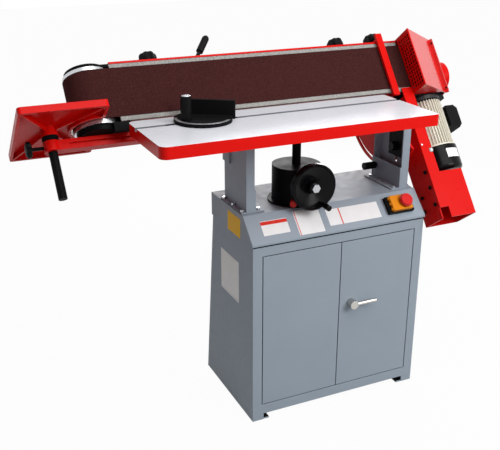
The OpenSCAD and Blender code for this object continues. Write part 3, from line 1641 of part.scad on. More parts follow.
// Tilt lock: a round grip on a bolt through the quadrant slot
module tilt_lock() color(dark) {
    rod_x(lock_r, lock_bar_x, quad_out + plate_gap + join, lock_y, lock_z);
    rod_x(2 * lock_r, lock_bar_x, col_in - col_t - bolt_gap, lock_y, lock_z);
    rod_x(lock_bar_r, lock_bar_x - lock_bar_l, lock_bar_x + join, lock_y, lock_z);
    rod_x(2 * lock_r, quad_out + bolt_gap, quad_out + bolt_gap + lock_nut_t, lock_y, lock_z);
}

// Yellow flap hinged on the left of the switch
module switch_flap() color([0.94, 0.66, 0.10]) {
    on_bevel() translate([0, 0, switch_d + bolt_gap]) difference() {
        union() {
            difference() {
                block([switch_hinge, -switch_h / 2 + flap_t, 0],
                    [-switch_hinge, switch_h / 2 - flap_t, flap_d]);
                block([switch_hinge + flap_t, -switch_h / 2 + 2 * flap_t, -cut],
                    [-switch_hinge - flap_t, switch_h / 2 - 2 * flap_t, flap_d - flap_t]);
            }
            for (y = [-switch_h / 3, 0, switch_h / 3])
                rod_y(flap_pin_r, y - flap_t, y + flap_t, switch_hinge, flap_pin_r);
        }
        translate([stop_x, 0, 0]) cylinder(r = mushroom_stem_r + button_gap, h = flap_d + cut);
    }
}

// Red mushroom on the flap that pushes the stop button
module stop_mushroom() color(red) {
    on_bevel() translate([stop_x, 0, switch_d + bolt_gap + flap_d]) {
        translate([0, 0, -2 * flap_t]) cylinder(r = mushroom_stem_r, h = 2 * flap_t + button_h + join);
        translate([0, 0, -2 * flap_t]) cylinder(r = mushroom_stem_r + flap_t / 2, h = flap_t - button_gap);
        translate([0, 0, button_h]) cylinder(r1 = mushroom_r - flap_t, r2 = mushroom_r, h = mushroom_h / 3);
        translate([0, 0, button_h + mushroom_h / 3])
            cylinder(r1 = mushroom_r, r2 = mushroom_r - flap_t, h = mushroom_h * 2 / 3);
    }
}

// Square buttons under the flap
module button(x) {
    on_bevel() translate([x, 0, switch_d / 2]) {
        cube([2 * button_half, 2 * button_half, switch_d + button_h], center = true);
    }
}

module start_button() color([0.10, 0.55, 0.20]) {
    button(-stop_x);
}

module stop_button() color(red) {
    button(stop_x);
}

cabinet();
hood();
columns();
column_feet();
frame_bolts();
pivot_brackets();
pivot_pins();
jack_housing();
switch_base();
door_left();
door_right();
door_handle();
table();
table_guides();
lift_spindle();
table_lock();
handwheel();
wheel_grip();
lift_pinion();
lift_nut();
lift_lock();
gauge_bar();
gauge_head();
gauge_handle();
head_frame();
platen();
belt();
belt_cover();
tilt_quadrant();
drive_bracket();
drive_guard();
drum_cover();
dust_chute();
head_screws();
motor_body();
motor_stator();
motor_rotor();
motor_fan();
fan_cover();
terminal_box();
end_arm();
drive_drum();
idler_yoke();
idler_axle();
idler_bearings();
idler_drum();
tension_lever();
end_table();
end_post();
end_knob();
cover_knob_left();
cover_knob_right();
work_stop();
work_stop_knob();
tilt_lock();
switch_flap();
stop_mushroom();
stop_button();
start_button();
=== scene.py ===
# %% [markdown]
# # An edge sander
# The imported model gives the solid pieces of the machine, each riding on the body that moves it.
# This lesson dresses them: it sets up the camera and the light, gives every piece its finish, and adds the
# thin things that a solid model leaves out, such as stickers, the scale of the mitre gauge and screw heads.

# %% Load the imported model
import json
import math

import bpy
import numpy as np
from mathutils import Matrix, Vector


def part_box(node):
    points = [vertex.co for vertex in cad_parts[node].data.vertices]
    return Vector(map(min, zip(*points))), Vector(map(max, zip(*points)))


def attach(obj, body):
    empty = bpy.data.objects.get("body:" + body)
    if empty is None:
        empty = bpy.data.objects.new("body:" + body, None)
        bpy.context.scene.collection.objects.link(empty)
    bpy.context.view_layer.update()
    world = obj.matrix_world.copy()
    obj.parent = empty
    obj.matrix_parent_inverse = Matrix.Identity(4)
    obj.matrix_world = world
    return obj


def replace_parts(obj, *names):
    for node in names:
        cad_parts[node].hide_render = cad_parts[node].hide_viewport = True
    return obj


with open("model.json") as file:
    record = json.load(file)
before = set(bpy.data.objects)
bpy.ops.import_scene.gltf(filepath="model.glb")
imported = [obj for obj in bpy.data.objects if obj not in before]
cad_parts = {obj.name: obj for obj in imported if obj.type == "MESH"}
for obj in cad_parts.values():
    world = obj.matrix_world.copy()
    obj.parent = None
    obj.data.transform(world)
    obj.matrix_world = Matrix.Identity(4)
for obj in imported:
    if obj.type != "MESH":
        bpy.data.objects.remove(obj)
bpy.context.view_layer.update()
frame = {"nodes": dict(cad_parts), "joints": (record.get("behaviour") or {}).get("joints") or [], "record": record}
nodes = frame["nodes"]
joints = {joint["name"]: joint for joint in frame["joints"]}
scene = bpy.context.scene
MM = 0.001

# %% [markdown]
# ## Camera
# The photograph looks down on the machine from its front left. A camera that was fitted to the cabinet and
# the table gives the place, the two angles and the focal length, which is written in pixels of the image.

# %% Camera
IMAGE_W = 500
FOCAL_PX = 794
CAMERA_PLACE = (-1.194, -2.104, 1.503)
CAMERA_YAW = math.radians(24.8)
CAMERA_PITCH = math.radians(21.5)
CAMERA_FAR = 100

camera = bpy.data.objects.new("camera", bpy.data.cameras.new("camera"))
scene.collection.objects.link(camera)
camera.data.lens = camera.data.sensor_width * FOCAL_PX / IMAGE_W
camera.location = CAMERA_PLACE
camera.rotation_euler = (math.pi / 2 - CAMERA_PITCH, 0, -CAMERA_YAW)
camera.data.clip_end = CAMERA_FAR
scene.camera = camera
print("lens", round(camera.data.lens, 1), "mm")

# %% [markdown]
# ## Colours and nodes
# Colours are written as the hex values that a paint chart shows. The shader wants linear light, so one
# function converts them. A second small function adds a shader node, sets it and links it, with a helper that
# also feeds the sockets of the shader itself, and the materials below need no other tool. Patterns are given
# in millimetres. Most of what a noise pattern holds lies between two levels, which paint and metal spread
# over their range of roughness.

# %% Colour and node helpers
NOISE_LOW, NOISE_HIGH = 0.3, 0.7
BEVEL_RAYS = 4


def linear(code, share=1.0):
    """Linear RGBA of a hex colour, at a share of its light.
    A channel c is c / 12.92 in the dark toe and ((c + 0.055) / 1.055) ** 2.4 above it."""
    values = [int(code[i:i + 2], 16) / 255 for i in (1, 3, 5)]
    light = [c / 12.92 if c < 0.04045 else ((c + 0.055) / 1.055) ** 2.4 for c in values]
    return [c * share for c in light] + [1.0]


def feed(tree, made, inputs):
    """Give each named socket of a node its value, or the link that feeds it."""
    for socket, value in inputs.items():
        if isinstance(value, bpy.types.NodeSocket):
            tree.links.new(value, made.inputs[socket])
        else:
            made.inputs[socket].default_value = value


def add(tree, kind, inputs=None, **settings):
    """Add one shader node. Settings are its properties; inputs gives a socket a value or a link."""
    made = tree.nodes.new("ShaderNode" + kind)
    for name, value in settings.items():
        setattr(made, name, value)
    feed(tree, made, inputs or {})
    return made


def begin(name):
    """A new material: its node tree, its shader, and the Object coordinates that its patterns read."""
    material = bpy.data.materials.new(name)
    material.use_nodes = True
    tree = material.node_tree
    return material, tree, tree.nodes["Principled BSDF"], add(tree, "TexCoord").outputs["Object"]


def per_metre(size_mm):
    """Pattern scale whose cells or blotches are about this many millimetres wide."""
    return 1 / (size_mm * MM)


RED = ("#d20e08", "#c90b06", "#e43226")
print("red enamel in linear light:", [round(c, 3) for c in linear(RED[0])])

# %% [markdown]
# ## Where a paint changes
# Some solid pieces are not the same all over. The folds round the cabinet doors are darkened with painted shade,
# the slanted face of the drive guard is glazed, and the top of the motor is a black end shield. They could be
# split into more meshes, but a test on the place of a point picks each region out and leaves the solid as it is.

# %% Regions of the paint
# The painted shade in the folds begins FOLD_SKIN behind the cabinet's front, runs FOLD_DEEP to the back and keeps
# FOLD_SIDE from its sides. The guard's perforated face lies within GUARD_SHEET of its left side. Heights along the
# motor start from the middle of the drum, and the black end shield is what lies above SHIELD_FOOT.
FOLD_SKIN, FOLD_DEEP, FOLD_SIDE = 2.5 * MM, 27.4 * MM, 3.5 * MM
GUARD_SHEET = 5.2 * MM
SHIELD_FOOT = -124 * MM
cabinet_low, cabinet_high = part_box("cabinet")
guard_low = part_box("drive_guard")[0]
drum_middle = np.array(joints["drive_spin"]["pos_m"], float)
motor_up = np.array(joints["drive_spin"]["axis"], float)


# Painted shade: the folds round the doors are darkened where shade falls in the gaps.
def door_fold_shade(tree, where):
    """The folds round the doors: a band behind the cabinet's front, clear of its sides."""
    fold_y = cabinet_low.y + FOLD_SKIN + FOLD_DEEP / 2
    fold_x = cabinet_high.x - FOLD_SIDE
    place = add(tree, "SeparateXYZ", {0: where})
    deep = add(tree, "Math", {0: place.outputs["Y"], 1: fold_y, 2: FOLD_DEEP / 2}, operation="COMPARE")
    inner = add(tree, "Math", {0: place.outputs["X"], 1: 0.0, 2: fold_x}, operation="COMPARE")
    both = add(tree, "Math", {0: deep.outputs[0], 1: inner.outputs[0]}, operation="MULTIPLY")
    return both.outputs[0]


def slanted_face(tree, where):
    """Everything to the right of the guard's perforated face."""
    face_x = guard_low.x + GUARD_SHEET
    place = add(tree, "SeparateXYZ", {0: where})
    right = add(tree, "Math", {0: place.outputs["X"], 1: face_x}, operation="GREATER_THAN")
    return right.outputs[0]


def end_shield(tree, where):
    """The top of the motor, above SHIELD_FOOT along its axis."""
    foot = float(drum_middle @ motor_up) + SHIELD_FOOT
    along = add(tree, "VectorMath", {0: where, 1: motor_up}, operation="DOT_PRODUCT")
    above = add(tree, "Math", {0: along.outputs["Value"], 1: foot}, operation="GREATER_THAN")
    return above.outputs[0]


print("motor axis leans", round(math.degrees(math.acos(motor_up[2]))), "degrees back")

# %% [markdown]
# ## Paint
# Nearly everything on the machine is painted steel or iron. Powder coat and enamel are the same idea with other
# numbers: a colour that drifts a little over a hand's width, an orange-peel skin about two millimetres across, and
# corners painted lighter, partly where the coat runs thin and partly as a painted highlight. The corners come from
# the Bevel node, which compares the rounded normal with the true one, so no mesh has to change.

# %% Paint maker
BLOTCH_MM, SCUFF_MM = 180, 25
EDGE_ROUND = 1.5 * MM
# Edges between these cosines take the third, lighter colour: partly worn coat, partly painted highlight.
THIN_FROM, THIN_TO = 0.97, 0.75
PEEL_DEPTH = 0.3 * MM
SMOOTHER, ROUGHER = 0.05, 0.08
GLAZE_ROUGH = 0.15


def paint(name, colours, rough, peel_mm, peel=0.12, specular=0.5, mask=None, under=None):
    """Paint in three colours: the coat, the colour that it drifts to in blotches, and its thin edges.
    An edge is where the rounded normal's cosine to the true one falls from THIN_FROM to THIN_TO; its lighter
    colour is partly worn coat and partly painted highlight.
    A mask picks out a region, which takes the colour under, or a clear glaze where no colour is given."""
    coat, drift, edge = colours
    material, tree, shader, where = begin(name)
    blotch = add(tree, "TexNoise", {"Vector": where, "Scale": per_metre(BLOTCH_MM), "Detail": 3})
    body = add(tree, "Mix", {0: blotch.outputs["Fac"], 6: linear(coat), 7: linear(drift)}, data_type="RGBA")
    corner = add(tree, "Bevel", {"Radius": EDGE_ROUND}, samples=BEVEL_RAYS)
    flat = add(tree, "NewGeometry")
    bend = add(tree, "VectorMath", {0: corner.outputs["Normal"], 1: flat.outputs["Normal"]},
               operation="DOT_PRODUCT")
    scuff = add(tree, "TexNoise", {"Vector": where, "Scale": per_metre(SCUFF_MM), "Detail": 4})
    thin = add(tree, "MapRange", {0: bend.outputs["Value"], 1: THIN_FROM, 2: THIN_TO, 3: 0.0, 4: 1.0})
    wear_and_highlight = add(tree, "Math", {0: thin.outputs[0], 1: scuff.outputs["Fac"]}, operation="MULTIPLY")
    shade = add(tree, "Mix", {0: wear_and_highlight.outputs[0], 6: body.outputs[2], 7: linear(edge)}, data_type="RGBA")
    region = mask(tree, where) if mask else None
    if region and under:
        shade = add(tree, "Mix", {0: region, 6: shade.outputs[2], 7: linear(under)}, data_type="RGBA")
    elif region:
        feed(tree, shader, {"Coat Weight": region, "Coat Roughness": GLAZE_ROUGH})
    skin_noise = add(tree, "TexNoise", {"Vector": where, "Scale": per_metre(peel_mm), "Detail": 2})
    bump = add(tree, "Bump", {"Strength": peel, "Distance": PEEL_DEPTH, "Height": skin_noise.outputs["Fac"],
                              "Normal": corner.outputs["Normal"]})
    gloss = add(tree, "MapRange", {0: scuff.outputs["Fac"], 1: NOISE_LOW, 2: NOISE_HIGH,
                                   3: rough - SMOOTHER, 4: rough + ROUGHER})
    feed(tree, shader, {"Base Color": shade.outputs[2], "Roughness": gloss.outputs[0],
                        "Normal": bump.outputs["Normal"], "Specular IOR Level": specular})
    return material


print("paint maker ready, edges rounded by", EDGE_ROUND / MM, "mm")

# %% [markdown]
# ## Painted and moulded finishes
# Powder coat is a dry, even grey. Gloss enamel is a deep red with a soft sheen, and the castings of the lift
# and the motor are black or cream. Moulded nylon and ABS are coloured right through, with a finer skin than
# any paint has. A low specular level keeps the dark ones dark against the white background.

# %% Painted and moulded finishes
GREY = ("#8b96a1", "#939ea9", "#b4bec8")
# The first black is painted shade for the folds round the doors; the second is the motor's black end shield.
FOLD_SHADE_BLACK, SHIELD_BLACK = "#15171a", "#0c0c0d"

# Powder coat: even grey, and for the cabinet the same with painted shade in the folds round its doors.
grey_powder = paint("grey powder coat", GREY, rough=0.5, peel_mm=2.2, specular=0.2)
fold_shaded_powder = paint("grey powder coat, painted fold shade", GREY, rough=0.5, peel_mm=2.2, specular=0.2,
                      mask=door_fold_shade, under=FOLD_SHADE_BLACK)
# Enamel: deep red with a sheen, and for the guard a glaze that mirrors the bright background.
red_enamel = paint("red gloss enamel", RED, rough=0.3, peel_mm=3.0, peel=0.05, specular=0.09)
guard_enamel = paint("red enamel, glazed slanted face", RED, rough=0.3, peel_mm=3.0, peel=0.05, specular=0.09,
                     mask=slanted_face)
# Black paint: satin on the castings, and glossy on the handwheel and the fan cover.
black_paint = paint("satin black paint", ("#0c0c0d", "#121213", "#2c2c2f"), rough=0.45, peel_mm=1.6,
                    specular=0.03)
black_gloss = paint("glossy black enamel", ("#08080a", "#0b0b0d", "#202023"), rough=0.2, peel_mm=2.5,
                    peel=0.03, specular=0.1)
# Cream motor paint: warm and half matt, so that the cooling ribs read as light and shade.
motor_paint = paint("cream motor paint, black end shield", ("#dcd8c9", "#d2cdbd", "#f0ede2"), rough=0.4,
                    peel_mm=1.8, mask=end_shield, under=SHIELD_BLACK)
# Moulded plastics: a fine grain, and edges painted lighter, partly as scuffs and partly as a highlight.
black_plastic = paint("moulded black nylon", ("#0a0a0b", "#101011", "#242427"), rough=0.45, peel_mm=0.9,
                      peel=0.15, specular=0.07)
yellow_plastic = paint("yellow ABS", ("#dc860a", "#d57f07", "#f0a836"), rough=0.33, peel_mm=1.2, peel=0.06,
                       specular=0.15)
red_plastic = paint("red ABS", ("#d3201f", "#c91917", "#f0524e"), rough=0.3, peel_mm=1.2, peel=0.05,
                    specular=0.2)
green_plastic = paint("green ABS", ("#1c7a3c", "#186f35", "#48a868"), rough=0.33, peel_mm=1.2, peel=0.05)
print("finishes from", grey_powder.name, "to", green_plastic.name)

# %% [markdown]
# ## Bare metal
# Zinc-plated screws, the chrome latch and the turned drums are metal all the way through. Their look is
# nearly all reflection, so the work goes into roughness: long faint streaks for what was turned or ground.

# %% Metals
STREAK_DIM = 0.8
STREAK_GLOSS = (0.7, 1.4)
METAL_ROUND, METAL_RELIEF, METAL_DEPTH = 0.8 * MM, 0.04, 0.1 * MM
EVEN = (1, 1, 1)


def metal(name, colour, rough, streak_mm, stretch):
    """Bare metal: streaks streak_mm wide, in a pattern whose x, y and z are multiplied by stretch. They dim
    the colour to STREAK_DIM of its light and carry the roughness between two STREAK_GLOSS shares of rough."""
    material, tree, shader, where = begin(name)
    drawn = add(tree, "Mapping", {"Vector": where, "Scale": stretch})
    streak = add(tree, "TexNoise", {"Vector": drawn.outputs[0], "Scale": per_metre(streak_mm), "Detail": 4})
    gloss = add(tree, "MapRange", {0: streak.outputs["Fac"], 1: NOISE_LOW, 2: NOISE_HIGH,
                                   3: rough * STREAK_GLOSS[0], 4: rough * STREAK_GLOSS[1]})
    tint = add(tree, "Mix", {0: streak.outputs["Fac"], 6: linear(colour), 7: linear(colour, STREAK_DIM)},
               data_type="RGBA")
    corner = add(tree, "Bevel", {"Radius": METAL_ROUND}, samples=BEVEL_RAYS)
    bump = add(tree, "Bump", {"Strength": METAL_RELIEF, "Distance": METAL_DEPTH,
                              "Height": streak.outputs["Fac"], "Normal": corner.outputs["Normal"]})
    feed(tree, shader, {"Base Color": tint.outputs[2], "Roughness": gloss.outputs[0],
                        "Normal": bump.outputs["Normal"], "Metallic": 1.0})
    return material


# Zinc is a soft silver, chrome a clear mirror, and turned or stacked metal shows its rings.
zinc_steel = metal("zinc-plated steel", "#c8cacd", rough=0.3, streak_mm=2, stretch=EVEN)
chrome = metal("polished chrome", "#cdcac4", rough=0.12, streak_mm=8, stretch=EVEN)
turned_aluminium = metal("turned aluminium", "#d3d5d8", rough=0.28, streak_mm=1, stretch=(0.2, 0.2, 6))
laminated_steel = metal("laminated steel and copper", "#a5673f", rough=0.4, streak_mm=1,
                        stretch=(0.1, 0.1, 4))
print("bare metals:", [finish.name for finish in (zinc_steel, chrome, turned_aluminium, laminated_steel)])

# %% [markdown]
# ## Table iron
# The table is one casting. Its top was ground bright and its rim was left in red enamel, so one material has to
# hold both. The height of the ground face above everything else in the casting splits them, and the mitre slot,
# which was milled, is bare too, in a darker iron that is painted shade in the recess.

# %% Ground top and enamelled rim
table_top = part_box("table")[1]
GROUND_DEPTH = 0.25 * MM
SLOT_Y, SLOT_HALF, SLOT_DEPTH = joints["gauge_swivel"]["pos_m"][1], 8.2 * MM, 9.5 * MM
# The third iron colour is darker: painted shade in the recess of the slot.
IRON, IRON_PALE, SLOT_SHADE_IRON, RIM_RED = "#dfe1e8", "#ebedf2", "#7d7f85", "#da110a"
MARK_MM, STAIN_MM = 0.8, 140
MARK_STRETCH = (0.02, 1, 1)
IRON_ROUGH, RIM_ROUGH = (0.26, 0.44), 0.3
IRON_METALLIC, TABLE_SPECULAR = 0.25, 0.1
MARK_RELIEF, MARK_DEPTH = 0.05, 0.1 * MM


def ground_table():
    """Enamel below the ground face; above it bright iron with grinding marks MARK_MM apart along the table.
    A point is bare within GROUND_DEPTH of the top, or in the slot, which reaches SLOT_HALF to either side of
    its middle and SLOT_DEPTH down."""
    material, tree, shader, where = begin("ground cast iron, enamelled rim")
    place = add(tree, "SeparateXYZ", {0: where})
    is_top = add(tree, "Math", {0: place.outputs["Z"], 1: table_top.z - GROUND_DEPTH},
                 operation="GREATER_THAN")
    in_slot = add(tree, "Math", {0: place.outputs["Y"], 1: SLOT_Y, 2: SLOT_HALF}, operation="COMPARE")
    above_bed = add(tree, "Math", {0: place.outputs["Z"], 1: table_top.z - SLOT_DEPTH},
                    operation="GREATER_THAN")
    slot = add(tree, "Math", {0: in_slot.outputs[0], 1: above_bed.outputs[0]}, operation="MULTIPLY")
    bare = add(tree, "Math", {0: is_top.outputs[0], 1: slot.outputs[0]}, operation="MAXIMUM")
    drawn = add(tree, "Mapping", {"Vector": where, "Scale": MARK_STRETCH})
    mark = add(tree, "TexNoise", {"Vector": drawn.outputs[0], "Scale": per_metre(MARK_MM), "Detail": 3})
    stain = add(tree, "TexNoise", {"Vector": where, "Scale": per_metre(STAIN_MM), "Detail": 4})
    iron = add(tree, "Mix", {0: stain.outputs["Fac"], 6: linear(IRON), 7: linear(IRON_PALE)},
               data_type="RGBA")
    # The slot takes the darker iron, painted shade in its recess.
    iron_with_slot_shade = add(tree, "Mix", {0: slot.outputs[0], 6: iron.outputs[2], 7: linear(SLOT_SHADE_IRON)}, data_type="RGBA")
    colour = add(tree, "Mix", {0: bare.outputs[0], 6: linear(RIM_RED), 7: iron_with_slot_shade.outputs[2]},
                 data_type="RGBA")
    shine = add(tree, "MapRange", {0: mark.outputs["Fac"], 1: NOISE_LOW, 2: NOISE_HIGH,
                                   3: IRON_ROUGH[0], 4: IRON_ROUGH[1]})
    rough = add(tree, "Mix", {0: bare.outputs[0], 2: RIM_ROUGH, 3: shine.outputs[0]})
    bright = add(tree, "Math", {0: bare.outputs[0], 1: IRON_METALLIC}, operation="MULTIPLY")
    corner = add(tree, "Bevel", {"Radius": EDGE_ROUND}, samples=BEVEL_RAYS)
    bump = add(tree, "Bump", {"Strength": MARK_RELIEF, "Distance": MARK_DEPTH, "Height": mark.outputs["Fac"],
                              "Normal": corner.outputs["Normal"]})
    feed(tree, shader, {"Base Color": colour.outputs[2], "Roughness": rough.outputs[0],
                        "Metallic": bright.outputs[0], "Specular IOR Level": TABLE_SPECULAR,
                        "Normal": bump.outputs["Normal"]})
    return material


table_iron = ground_table()
print("ground face at", round(table_top.z / MM), "mm")

# %% [markdown]
# ## Abrasive belt and platen
# The belt is cloth carrying brown grit in glue. Real grit of this grade is a quarter of a millimetre, too
# fine to show from two metres, so the grains here are drawn about a millimetre wide. The platen is faced
# with grey graphite cloth, whose pale flecks show as a speckled strip above and below the belt. Both could
# be bumps in a mesh, but cells in the material cost no faces and stay sharp from any side.

# %% Grit and graphite
CLOUD_MM, CLOUD_DIM = 60, 0.82
GRAIN_DEPTH, GRAIN_SPECULAR = 0.4 * MM, 0.06


def speckle(name, ground, fleck, grain_mm, share, rough, relief):
    """Grains grain_mm wide: cells of a Voronoi pattern, of which about this share take the fleck colour.
    The ground between them dims to CLOUD_DIM of its light in soft clouds."""
    material, tree, shader, where = begin(name)
    grain = add(tree, "TexVoronoi", {"Vector": where, "Scale": per_metre(grain_mm)})
    cloud = add(tree, "TexNoise", {"Vector": where, "Scale": per_metre(CLOUD_MM), "Detail": 3})
    pick = add(tree, "SeparateColor", {0: grain.outputs["Color"]})
    chosen = add(tree, "Math", {0: pick.outputs[0], 1: 1 - share}, operation="GREATER_THAN")
    drift = add(tree, "Mix", {0: cloud.outputs["Fac"], 6: linear(ground), 7: linear(ground, CLOUD_DIM)},
                data_type="RGBA")
    colour = add(tree, "Mix", {0: chosen.outputs[0], 6: drift.outputs[2], 7: linear(fleck)}, data_type="RGBA")
    bump = add(tree, "Bump", {"Strength": relief, "Distance": GRAIN_DEPTH,
                              "Height": grain.outputs["Distance"]})
    feed(tree, shader, {"Base Color": colour.outputs[2], "Normal": bump.outputs["Normal"], "Roughness": rough,
                        "Specular IOR Level": GRAIN_SPECULAR})
    return material


# Grit is a dull red brown that drinks the light, and graphite cloth a flecked grey.
belt_grit = speckle("aluminium oxide grit on cloth", "#371a19", "#472523", grain_mm=1.2, share=0.3,
                    rough=0.85, relief=0.3)
graphite_cloth = speckle("graphite cloth", "#8d8c89", "#a8a7a3", grain_mm=1.5, share=0.4,
                         rough=0.8, relief=0.2)
print("grain finishes:", belt_grit.name, "and", graphite_cloth.name)

# %% [markdown]
# ## Dressing the solid pieces
# The record names a material slot for every solid piece. One table goes from slot to finish, and a short one names
# the pieces that differ: the cabinet and its doors have painted shade in their folds, the handwheel and the fan
# cover are glossy, and the slanted face of the guard has a clear glaze that catches the bright background.

# %% Finishes for the solid pieces
SLOT_FINISH = {
    "grey_paint": grey_powder, "red_enamel": red_enamel, "table_iron": table_iron, "black_paint": black_paint,
    "black_plastic": black_plastic, "steel": zinc_steel, "chrome": chrome, "drum_metal": turned_aluminium,
    "abrasive": belt_grit, "platen_face": graphite_cloth, "motor_paint": motor_paint,
    "winding": laminated_steel, "yellow_plastic": yellow_plastic, "red_plastic": red_plastic,
    "green_plastic": green_plastic,
}
NODE_FINISH = {
    "cabinet": fold_shaded_powder, "door_left": fold_shaded_powder, "door_right": fold_shaded_powder,
    "handwheel": black_gloss, "wheel_grip": black_gloss, "fan_cover": black_gloss,
    "drive_guard": guard_enamel,
}
for part in frame["record"]["subparts"]:
    finish = NODE_FINISH.get(part["node"], SLOT_FINISH[part["material_slot"]])
    mesh = nodes[part["node"]].data
    mesh.materials.clear()
    mesh.materials.append(finish)

# %% [markdown]
# ## New pieces as surfaces
# Each new piece is a grid of points worked out from a formula. The first maker joins the rings of a grid into
# a closed skin, with a point at each end. The others give it rings: a thin plate, a profile carried round an
# axis, and a strip carried along an arc.

# %% Closed skin
def skin(name, rings, finish, body, uv=None):
    """Closed skin over rings of points (ring, point, xyz), each end gathered to the middle of its ring."""
    count, around = rings.shape[:2]
    ends = np.stack([rings[0].mean(0), rings[-1].mean(0)])
    points = np.concatenate([rings.reshape(-1, 3), ends])
    ring, step = np.meshgrid(np.arange(count - 1), np.arange(around), indexing="ij")
    low, high = ring * around, (ring + 1) * around
    after = (step + 1) % around
    quads = np.stack([low + step, low + after, high + after, high + step], -1).reshape(-1, 4)
    turn = np.arange(around)
    beside = (turn + 1) % around
    first = np.stack([np.full(around, count * around), beside, turn], -1)
    last_ring = (count - 1) * around
    last = np.stack([np.full(around, count * around + 1), last_ring + turn, last_ring + beside], -1)
    mesh = bpy.data.meshes.new(name)
    mesh.from_pydata(points.tolist(), [], quads.tolist() + first.tolist() + last.tolist())
    if uv is not None:
        flat = np.concatenate([uv.reshape(-1, 2), [[0.5, 0.5], [0.5, 0.5]]])
        corner = np.empty(len(mesh.loops), np.int32)
        mesh.loops.foreach_get("vertex_index", corner)
        mesh.uv_layers.new(name="face").data.foreach_set("uv", flat[corner].ravel())
    mesh.materials.append(finish)
    piece = bpy.data.objects.new(name, mesh)
    scene.collection.objects.link(piece)
    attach(piece, body)
    return piece


print("maker ready: skin")

# %% Plates, turned pieces and strips
PLATE_STEPS, TURNED_STEPS = 48, 32
NEAR_X = 0.9


def plate(name, centre, across, along, size, thick, corner, finish, body):
    """Thin plate with round corners, lying on a face. Its outline is
    (half - corner) * sign(cos t, sin t) + corner * (cos t, sin t), raised ring by ring, and the last ring is
    drawn in by a third of the thickness."""
    across, along = np.array(across, float), np.array(along, float)
    up = np.cross(across, along)
    t = (np.arange(PLATE_STEPS) + 0.5) / PLATE_STEPS * 2 * np.pi
    round_way = np.stack([np.cos(t), np.sin(t)], -1)
    half = np.array(size) / 2
    edge = thick / 3
    rings, spots = [], []
    for inset, rise in ((0, 0), (0, thick - edge), (edge, thick)):
        flat = (half - corner) * np.sign(round_way) + (corner - inset) * round_way
        rings.append(np.array(centre) + flat[:, :1] * across + flat[:, 1:] * along + rise * up)
        spots.append(0.5 + flat / (2 * half))
    return skin(name, np.stack(rings), finish, body, np.stack(spots))


def ways_round(axis, steps):
    """Angles of a full turn and the unit ways cos t * side + sin t * other, square to an axis.
    The side is square to X too, or to Y where the axis itself lies near X."""
    side = np.cross(axis, (1.0, 0.0, 0.0) if abs(axis[0]) < NEAR_X else (0.0, 1.0, 0.0))
    side = side / np.linalg.norm(side)
    t = np.arange(steps) / steps * 2 * np.pi
    return t, np.cos(t)[:, None] * side + np.sin(t)[:, None] * np.cross(axis, side)


def turned(name, base, axis, profile, finish, body):
    """Turned piece: each (radius, height) of the profile carried round the axis from its base."""
    axis = np.array(axis, float)
    way = ways_round(axis, TURNED_STEPS)[1]
    radius, height = np.array(profile, float).T
    rings = np.array(base) + radius[:, None, None] * way + height[:, None, None] * axis
    piece = skin(name, rings, finish, body)
    piece.data.shade_smooth()
    return piece


def arc_strip(name, centre, ways, turn, profile, shares, finish, body):
    """Strip along an arc: centre + radius * (cos t * first + sin t * second) + height * up, for each angle t
    of turn and each (radius, height) of the profile. Its map runs along it, and across it by shares."""
    first, second, up = (np.array(way, float) for way in ways)
    radius, height = np.array(profile, float).T
    out = np.cos(turn)[:, None] * first + np.sin(turn)[:, None] * second
    rings = np.array(centre) + radius[:, None] * out[:, None] + height[:, None] * up
    along = np.repeat(np.linspace(1, 0, len(turn))[:, None], len(radius), 1)
    spots = np.stack([along, np.tile(np.array(shares, float), (len(turn), 1))], -1)
    return skin(name, rings, finish, body, spots)


print("makers ready: plate, turned, arc_strip")

# %% [markdown]
# ## Stickers
# The bevel of the hood and the left side of the machine carry plain stickers: white or yellow vinyl with a
# coloured band, a third of a millimetre thick, on the painted sheet. The band is drawn by the material from
# the sticker's own map, so one thin plate serves each of them.

# %% Vinyl
GRIME_MM, GRIME_DIM = 30, 0.9
VINYL_ROUGH, VINYL_SPECULAR = 0.35, 0.05
WIDE, HIGH = 0, 1


def vinyl(name, colour, band, low, high, way):
    """Vinyl with a plain band of colour between two shares of the sticker's width or height."""
    material, tree, shader, where = begin(name)
    face = add(tree, "UVMap", uv_map="face")
    share = add(tree, "SeparateXYZ", {0: face.outputs[0]})
    above = add(tree, "Math", {0: share.outputs[way], 1: low}, operation="GREATER_THAN")
    below = add(tree, "Math", {0: share.outputs[way], 1: high}, operation="LESS_THAN")
    inside = add(tree, "Math", {0: above.outputs[0], 1: below.outputs[0]}, operation="MULTIPLY")
    grime = add(tree, "TexNoise", {"Vector": where, "Scale": per_metre(GRIME_MM), "Detail": 3})
    base = add(tree, "Mix", {0: grime.outputs["Fac"], 6: linear(colour), 7: linear(colour, GRIME_DIM)},
               data_type="RGBA")
    shade = add(tree, "Mix", {0: inside.outputs[0], 6: base.outputs[2], 7: linear(band)}, data_type="RGBA")
    feed(tree, shader, {"Base Color": shade.outputs[2], "Roughness": VINYL_ROUGH,
                        "Specular IOR Level": VINYL_SPECULAR})
    return material


WHITE_VINYL, RED_BAND = "#e9e9ea", "#d4342c"
# Vinyl is a clean, half-matt film, so its bands read as flat colour from any side.
banded = {
    "notice": vinyl("white vinyl, red head", WHITE_VINYL, RED_BAND, low=0.72, high=0.96, way=HIGH),
    "data": vinyl("white vinyl, red margin", WHITE_VINYL, RED_BAND, low=0.03, high=0.06, way=WIDE),
    "front": vinyl("white vinyl, red rule", WHITE_VINYL, RED_BAND, low=0.235, high=0.255, way=WIDE),
    "plain": vinyl("plain white vinyl", "#fafafa", "#dfe0e2", low=0.02, high=0.05, way=HIGH),
    "yellow": vinyl("yellow vinyl", "#ffc60a", "#f5b800", low=0.02, high=0.05, way=HIGH),
}
print("vinyls:", list(banded))

